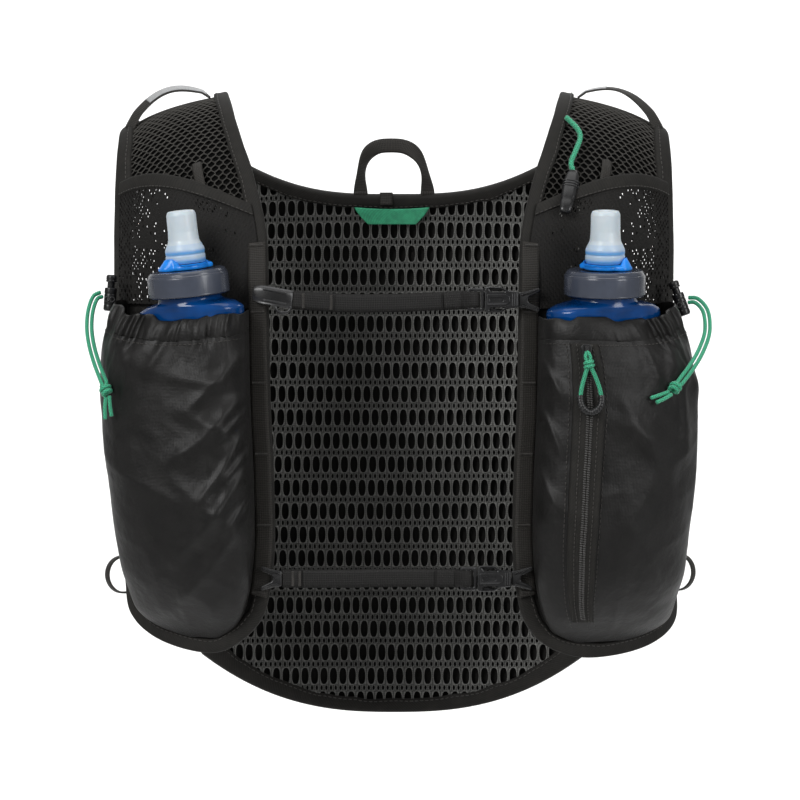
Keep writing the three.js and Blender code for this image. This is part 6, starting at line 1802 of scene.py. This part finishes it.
def make_flasks():
    for side in SIDES:
        out, aside, axis, turn, seat = flask_frame(side)
        drops = np.concatenate([np.linspace(0.5, 14, 34), np.linspace(15.5, 170, 60)])
        table = np.stack([np.interp(drops, FLASK_RINGS[:, 0], FLASK_RINGS[:, k]) for k in range(5)], -1)
        kernel = np.array([1, 2, 3, 2, 1]) / 9
        for k in (1, 2, 3, 4):
            eased = np.convolve(np.pad(table[:, k], 2, mode="edge"), kernel, "valid")
            table[4:, k] = eased[4:]
        angle = np.linspace(0, 2 * math.pi, 72, endpoint=False)
        rings = []
        for drop, wide, deep, far, tilt in table:
            middle = seat - axis * min(drop, 8) - np.array([0, 0, max(0, drop - 8)])
            middle = middle + out * (far - FLASK_RINGS[0, 3]) * FLASK_OUT + aside * (1 - tilt) * FLASK[side]["shift"]
            matrix = np.array(Quaternion().slerp(turn, float(tilt)).to_matrix())
            forward, sideways = matrix @ out, matrix @ aside
            lump = 1 + 0.006 * np.sin(3 * angle + drop * 0.12) * min(1, drop / 14)
            broad = 1 + FLASK_BREADTH[side] * np.interp(drop, (3, 6, 11, 20), (0, 1, 1, 0))
            rings.append(middle + np.outer(np.cos(angle) * wide * broad * lump, sideways) * CAP_RADIUS
                         + np.outer(np.sin(angle) * deep * lump, forward) * CAP_RADIUS)
        rings = np.array(rings)
        body = Shape()
        points = np.vstack([rings.reshape(-1, 3), rings[0].mean(0), rings[-1].mean(0)])
        body.add(points, closed_rings(len(rings), len(angle), -1))
        body.piece(f"flask_body_{side}", "flask", replaces=f"flask_{side}")
        place = turned_by(side)
        top = CAP_HEIGHT
        cap = Shape()
        profile = rounded([(0, -0.2), (CAP_RADIUS - 1.2, -0.2), (CAP_RADIUS - 0.3, 0.4), (CAP_RADIUS, 1.2),
                           (CAP_RADIUS, top - 3.4), (CAP_RADIUS - 0.5, top - 2.6), (CAP_RADIUS - 1.1, top - 2.2),
                           (CAP_RADIUS - 1.1, top - 1.5), (CAP_RADIUS - 2.4, top), (17.5, top + 0.3), (15.5, top - 0.6),
                           (9, top - 0.6), (8.2, top), (6, top), (6, top + 7.5), (0, top + 7.5)], 0.5)

        def ribbed(height, angle):
            grip = ((height > 1.0) & (height < top - 3.0)).astype(float)
            facet = (angle * 13 / math.pi) % 1 - 0.5
            return 1 - grip * (0.009 * (1 - (2 * facet) ** 2) + 0.012 * (np.abs(facet) > 0.44))

        add_lathe(cap, profile, place, 104, radial=ribbed)
        cap.piece(f"screw_cap_{side}", "cap", replaces=f"flask_cap_{side}")
        low = top + 3.7
        valve = Shape()
        profile = rounded([(6.4, low), (10.6, low), (11.3, low + 1.4), (11.3, low + 4.4), (10.9, low + 5.0),
                           (11.2, low + 5.7), (11.2, low + 8.0), (10.2, low + 10.2), (9.2, low + 12.0),
                           (8.8, low + 13.2),
                           (8.5, low + 18), (8.4, low + 27.6), (7.6, low + 29.6), (5.8, low + 30), (2.2, low + 29.2),
                           (0.0, low + 28.9)], 0.7)

        def flattened(height, angle):
            rise = np.clip((height - low - 12) / 6, 0, 1)
            return 1 - 0.06 * rise * np.sin(angle - math.radians(20)) ** 2

        def band(height, low=low):
            rise = height - low
            collars = 0.85 * np.exp(-((rise - 6.2) / 1.1) ** 2) + 0.9 * np.exp(-((rise - 1.2) / 1.2) ** 2)
            return collars + 0.22 * (rise < 11)

        tall = np.linspace(0, 1, 3)[:, None]
        profile = np.vstack([a + (b - a) * tall[:-1] for a, b in zip(profile, profile[1:])] + [profile[-1:]])
        add_lathe(valve, profile, place, 56, radial=flattened, tint=band)
        bore = rounded([(6.4, low), (6.4, low + 7.5), (4.4, low + 8.5), (4.0, low + 24), (0, low + 26)], 0.6)
        add_lathe(valve, bore, place, 40)
        for high, r in ((low + 2.2, 8.6), (low + 6.8, 8.4)):
            ring = [place(np.array([r * math.cos(a), r * math.sin(a), high])) for a in np.linspace(0, 2 * math.pi, 49)]
            add_tube(valve, np.array(ring), 0.9, 8, finish=1)
        valve.piece(f"bite_valve_rubber_{side}", "valve", "lock", replaces=f"bite_valve_{side}")
        make_valve_lock(side, place)


def make_valve_lock(side, place):
    """Turning lock: a collar with two wings, one swept up beside the valve."""
    low = CAP_HEIGHT + 0.35
    angle = np.linspace(0, 2 * math.pi, 144, endpoint=False)
    wings = math.radians(FLASK[side]["wings"])
    wing = eased(np.clip(np.abs(np.cos(angle - wings)) - 0.86, 0, 1) / 0.14)
    wing = wing * np.where(np.cos(angle - wings) > 0, 1, 0.7)
    reach = 12.0 + (16.5 - 12.0) * wing ** 0.8
    swept = eased(np.clip(np.abs(np.cos(angle - wings - math.radians(18))) - 0.8, 0, 1) / 0.2)
    swept = swept * np.where(np.cos(angle - wings) > 0, 1, 0.45)
    crest = low + 2.4 + 4.6 * swept
    rim = 12.05
    section = [
        (6.35 + 0 * wing, low + 0 * wing), (reach - 0.6, low + 0 * wing), (reach, low + 0.6 + 0 * wing),
        (reach, low + 3.0 * (0.75 - 0.25 * wing)), (reach - 0.6, low + 3.0 * (0.95 - 0.15 * wing)),
        (np.maximum(rim + 0.3, rim + (reach - 2 - rim) * wing * 0.5), crest - 0.3),
        (rim + 0.1 + 0 * wing, crest), (rim - 0.1 + 0 * wing, crest - 0.25),
        (rim - 0.7 + 0 * wing, low + 3.1 + 0 * wing),
        (6.35 + 0 * wing, low + 3.0 + 0 * wing),
    ]
    rings = np.array([place(np.stack([r * np.cos(angle), r * np.sin(angle), h + 0 * r], -1)) for r, h in section])
    shape = Shape()
    rings = np.concatenate([rings, rings[:1]])
    shape.add(rings, grid_faces(len(rings), 144, wrap=True))
    shape.piece(f"valve_collar_{side}", "lock", body=f"valve_lock_{side}", replaces=f"valve_lock_{side}")


def make_cord_locks():
    for side in SIDES:
        x, y, z, lean = LOCK_PLACE[side]
        c, s = math.cos(math.radians(lean)), math.sin(math.radians(lean)) * -SIGN[side]

        def place(own, x=x, y=y, z=z, c=c, s=s):
            return np.stack([x + own[..., 0] * c + own[..., 2] * s, y + own[..., 1], z - own[..., 0] * s
                             + own[..., 2] * c], -1)

        barrel = Shape()
        profile = rounded([(0, 0), (2.6, 0), (3.4, 0.8), (3.4, 3.2), (3.15, 3.6), (3.4, 4.0), (3.4, 9.6), (3.15, 10),
                           (3.4, 10.4), (3.4, 13), (3.1, 13.5), (2.5, 13.5), (2.5, 3.5), (0, 3.5)], 0.35)

        def flats(height, angle):
            return 1 + 0.05 * np.cos(2 * angle) * (height < 13.6)

        add_lathe(barrel, profile, place, 48, radial=flats)
        for way in (-1, 1):
            hole = [place(np.array([way * 1.5 + 1.35 * math.cos(a), -3.42, 6.8 + 1.35 * math.sin(a)]))
                    for a in np.linspace(0, 2 * math.pi, 25)]
            add_tube(barrel, np.array(hole), 0.32, 6)
        barrel.piece(f"lock_barrel_{side}", "acetal", replaces=f"cord_lock_{side}")
        button = Shape()
        head = 13.5 + 3 + 0.35
        profile = rounded([(0, head - 8), (2.15, head - 8), (2.15, head), (3.1, head), (3.1, head + 1.0),
                           (2.85, head + 1.3),
                           (3.1, head + 1.6), (3.1, head + 3.4), (2.3, head + 4.2), (0, head + 4.2)], 0.35)
        add_lathe(button, profile, place, 40)
        button.piece(f"lock_press_{side}", "acetal", body=f"lock_button_{side}", replaces=f"lock_button_{side}")


# Zip


def zip_place(u, v, lift):
    fall = 0.075 + (0.93 - 0.075) * u
    wide = 0.27 + (v - 0.5) * 10.5 / POCKET_WIDTH
    relief = pocket_relief("right", fall, wide) * 0.35
    return pocket_place("right", fall, wide, 2.7 + lift, relief)


def make_zip():
    tape = Shape()
    u = np.linspace(0, 1, 240)
    v = np.linspace(0, 1, 17)
    ridge = 0.9 * np.exp(-((v - 0.5) / 0.13) ** 4) + 0.35 * np.exp(-((np.abs(v - 0.5) - 0.36) / 0.05) ** 2)
    along, across = np.meshgrid(u, v, indexing="ij")
    add_sheet(tape, zip_place(along, across, 0.9 + ridge + 0 * along), zip_place(along, across, 0 * along - 0.8))
    coil = Shape()
    for v_at in (0.22, 0.78):
        stitch_cloth(coil, zip_place, u, v_at, 1.1, 3.0, 2.6, finish=1, length=1.9)
    count = 118
    at = np.linspace(0.03, 0.985, count)
    for s in (-1, 1):
        inner = zip_place(at, np.full(count, 0.5 + s * 0.012), np.full(count, 1.95))
        outer = zip_place(at + s * 0.002, np.full(count, 0.5 + s * 0.1), np.full(count, 1.85))
        normal = unit(zip_place(at, np.full(count, 0.5), np.full(count, 4.0)) - inner)
        add_stitches(coil, (inner + outer) / 2, outer - inner, normal, 1.7, 0.95, 0.55)
    teeth = coil.piece("zip_coil", "coil", "thread")
    made = tape.piece("zip_tape_knit", "binding", replaces="zip_tape")
    middle = zip_place(np.array(0.03), np.array(0.5), np.array(1.9))
    slider = Shape()

    def turned_place(points):
        c, s = math.cos(math.radians(8)), math.sin(math.radians(8))
        x, y, z = points[:, 0], -points[:, 2], points[:, 1]
        return np.stack([middle[0] + x * c - y * s, middle[1] - 0.5 + x * s + y * c, middle[2] + z], -1)

    body = [(-2.4, 4.3), (-3.2, 2.5), (-2.6, -1), (-2.2, -4.3), (2.2, -4.3), (2.6, -1), (3.2, 2.5), (2.4, 4.3)]
    add_moulding(slider, round_corners(body, 1.0), [], 0, 1.6, turned_place, 0.4)
    bridge = [(-0.9, 3.4), (-0.9, -3.4), (0.9, -3.4), (0.9, 3.4)]
    add_moulding(slider, round_corners(bridge, 0.5), [], 1.4, 3.0, turned_place, 0.4)
    slider.piece("zip_slider_body", "acetal", replaces="zip_slider")

    def pull(share, aside):
        return zip_place(np.array(0.03 + share * 0.16), np.array(0.5), np.array(3.4)) + np.array([aside, -1.4, 0])

    cord = Shape()
    knot = pull(0.28, 0)
    add_knot(cord, knot, (0, 0, 1), 2.5, 1.05)
    for s in (-1, 1):
        line = spline([pull(0.3, s * 0.6), pull(0.5, s * 2.6), pull(0.78, s * 4.9), pull(1.02, s * 6)],
                      np.linspace(0, 1, 40))
        add_cord(cord, resampled(line, 60))
    line = spline([pull(0.22, -0.8), pull(0.1, -1.3), pull(0.0, 0), pull(0.1, 1.3), pull(0.22, 0.8)],
                  np.linspace(0, 1, 40))
    add_cord(cord, line, 1.0)
    cord.piece("zip_pull_braid", "cord", replaces="zip_pull_cord")
    grip = Shape()
    line = [pull(0.96, -6.0)] + [pull(1.03 + 0.3 * math.sin(a), -6 * math.cos(a)) for a in np.linspace(0, math.pi, 16)]
    line.append(pull(0.96, 6.0))
    line = resampled(spline(line, np.linspace(0, 1, 90)), 90)
    swell = 2.0 * (1 - 0.18 * np.exp(-((np.linspace(0, 1, 90) - 0.5) / 0.05) ** 2))
    add_tube(grip, line, swell, 16, 0, lambda run, angle: 1 + 0.05 * np.cos(run * 4.2) + 0 * angle)
    grip.piece("zip_pull_handle", "acetal", replaces="zip_pull_grip")


# ---------------------------------------------------------------------------------------------------------------
# Operators, in the order in which they run


class VEST_OT_camera(bpy.types.Operator):
    """Sets up the camera, level in front of the chest"""
    bl_idname, bl_label = "vest.camera", "Camera"

    def execute(self, context):
        make_camera()
        return {"FINISHED"}


class VEST_OT_drawcords(bpy.types.Operator):
    """Makes the green drawcords with their knots"""
    bl_idname, bl_label = "vest.drawcords", "Drawcords"

    def execute(self, context):
        make_drawcords()
        return {"FINISHED"}


class VEST_OT_whistle(bpy.types.Operator):
    """Makes the whistle on its braided cord"""
    bl_idname, bl_label = "vest.whistle", "Whistle"

    def execute(self, context):
        make_whistle()
        return {"FINISHED"}


class VEST_OT_back_mesh(bpy.types.Operator):
    """Knits the slotted spacer mesh of the back"""
    bl_idname, bl_label = "vest.back_mesh", "Back mesh"

    def execute(self, context):
        make_back_mesh()
        return {"FINISHED"}


class VEST_OT_back_shell(bpy.types.Operator):
    """Makes the stretch cloth outside the back"""
    bl_idname, bl_label = "vest.back_shell", "Back shell"

    def execute(self, context):
        make_back_shell()
        return {"FINISHED"}


class VEST_OT_bindings(bpy.types.Operator):
    """Folds the binding round every edge and stitches it"""
    bl_idname, bl_label = "vest.bindings", "Bindings"

    def execute(self, context):
        make_bindings()
        return {"FINISHED"}


class VEST_OT_neck_pieces(bpy.types.Operator):
    """Makes the hang loop and the plain tab at the neck"""
    bl_idname, bl_label = "vest.neck_pieces", "Hang loop and tab"

    def execute(self, context):
        make_neck_pieces()
        return {"FINISHED"}


class VEST_OT_shoulder_nets(bpy.types.Operator):
    """Knits the open nets over the shoulders"""
    bl_idname, bl_label = "vest.shoulder_nets", "Shoulder nets"

    def execute(self, context):
        make_shoulder_nets()
        return {"FINISHED"}


class VEST_OT_panels(bpy.types.Operator):
    """Makes the linings of the front panels and the side panels"""
    bl_idname, bl_label = "vest.panels", "Panels"

    def execute(self, context):
        make_panels()
        return {"FINISHED"}


class VEST_OT_upper_pockets(bpy.types.Operator):
    """Makes the mesh pockets behind the flasks with their hems"""
    bl_idname, bl_label = "vest.upper_pockets", "Upper pockets"

    def execute(self, context):
        make_upper_pockets()
        return {"FINISHED"}


class VEST_OT_flask_pockets(bpy.types.Operator):
    """Makes the creased flask pockets with their gathered hems"""
    bl_idname, bl_label = "vest.flask_pockets", "Flask pockets"

    def execute(self, context):
        make_flask_pockets()
        return {"FINISHED"}


class VEST_OT_webbing(bpy.types.Operator):
    """Makes the rails, tabs and loops of webbing"""
    bl_idname, bl_label = "vest.webbing", "Rails, tabs and loops"

    def execute(self, context):
        make_rails()
        return {"FINISHED"}


class VEST_OT_straps(bpy.types.Operator):
    """Makes the two sternum straps"""
    bl_idname, bl_label = "vest.straps", "Sternum straps"

    def execute(self, context):
        make_straps()
        return {"FINISHED"}


class VEST_OT_buckles(bpy.types.Operator):
    """Moulds the buckles, the hooks and the clip"""
    bl_idname, bl_label = "vest.buckles", "Buckles and hooks"

    def execute(self, context):
        make_buckles()
        return {"FINISHED"}


class VEST_OT_flasks(bpy.types.Operator):
    """Makes the flasks with caps, bite valves and valve locks"""
    bl_idname, bl_label = "vest.flasks", "Flasks"

    def execute(self, context):
        make_flasks()
        return {"FINISHED"}


class VEST_OT_cord_locks(bpy.types.Operator):
    """Makes the cord locks with their buttons"""
    bl_idname, bl_label = "vest.cord_locks", "Cord locks"

    def execute(self, context):
        make_cord_locks()
        return {"FINISHED"}


class VEST_OT_zip(bpy.types.Operator):
    """Makes the zip with its slider and pull"""
    bl_idname, bl_label = "vest.zip", "Zip"

    def execute(self, context):
        make_zip()
        return {"FINISHED"}


class VEST_OT_stage(bpy.types.Operator):
    """Makes the floor and the soft studio light"""
    bl_idname, bl_label = "vest.stage", "Stage"

    def execute(self, context):
        make_stage()
        return {"FINISHED"}


OPERATORS = (
    VEST_OT_camera, VEST_OT_drawcords, VEST_OT_whistle, VEST_OT_back_mesh, VEST_OT_back_shell, VEST_OT_bindings,
    VEST_OT_neck_pieces, VEST_OT_shoulder_nets, VEST_OT_panels, VEST_OT_upper_pockets, VEST_OT_flask_pockets,
    VEST_OT_webbing, VEST_OT_straps, VEST_OT_buckles, VEST_OT_flasks, VEST_OT_cord_locks, VEST_OT_zip, VEST_OT_stage,
)


class VEST_PT_panel(bpy.types.Panel):
    """Lists the vest's pieces and settings"""
    bl_idname, bl_label = "VEST_PT_panel", "Running vest"
    bl_space_type, bl_region_type, bl_category = "VIEW_3D", "UI", "Vest"

    def draw(self, context):
        for group in (context.scene.vest_sizes, context.scene.vest_colours):
            for name in group.__annotations__:
                self.layout.prop(group, name)
        for operator in OPERATORS:
            self.layout.operator(operator.bl_idname)


CLASSES = (VestColours, VestSizes, *OPERATORS, VEST_PT_panel)


def register():
    for each in CLASSES:
        bpy.utils.register_class(each)
    bpy.types.Scene.vest_colours = bpy.props.PointerProperty(type=VestColours)
    bpy.types.Scene.vest_sizes = bpy.props.PointerProperty(type=VestSizes)


def unregister():
    del bpy.types.Scene.vest_sizes
    del bpy.types.Scene.vest_colours
    for each in reversed(CLASSES):
        bpy.utils.unregister_class(each)


def main():
    register()
    for operator in OPERATORS:
        group, name = operator.bl_idname.split(".")
        getattr(getattr(bpy.ops, group), name)()


if __name__ == "__main__":
    main()
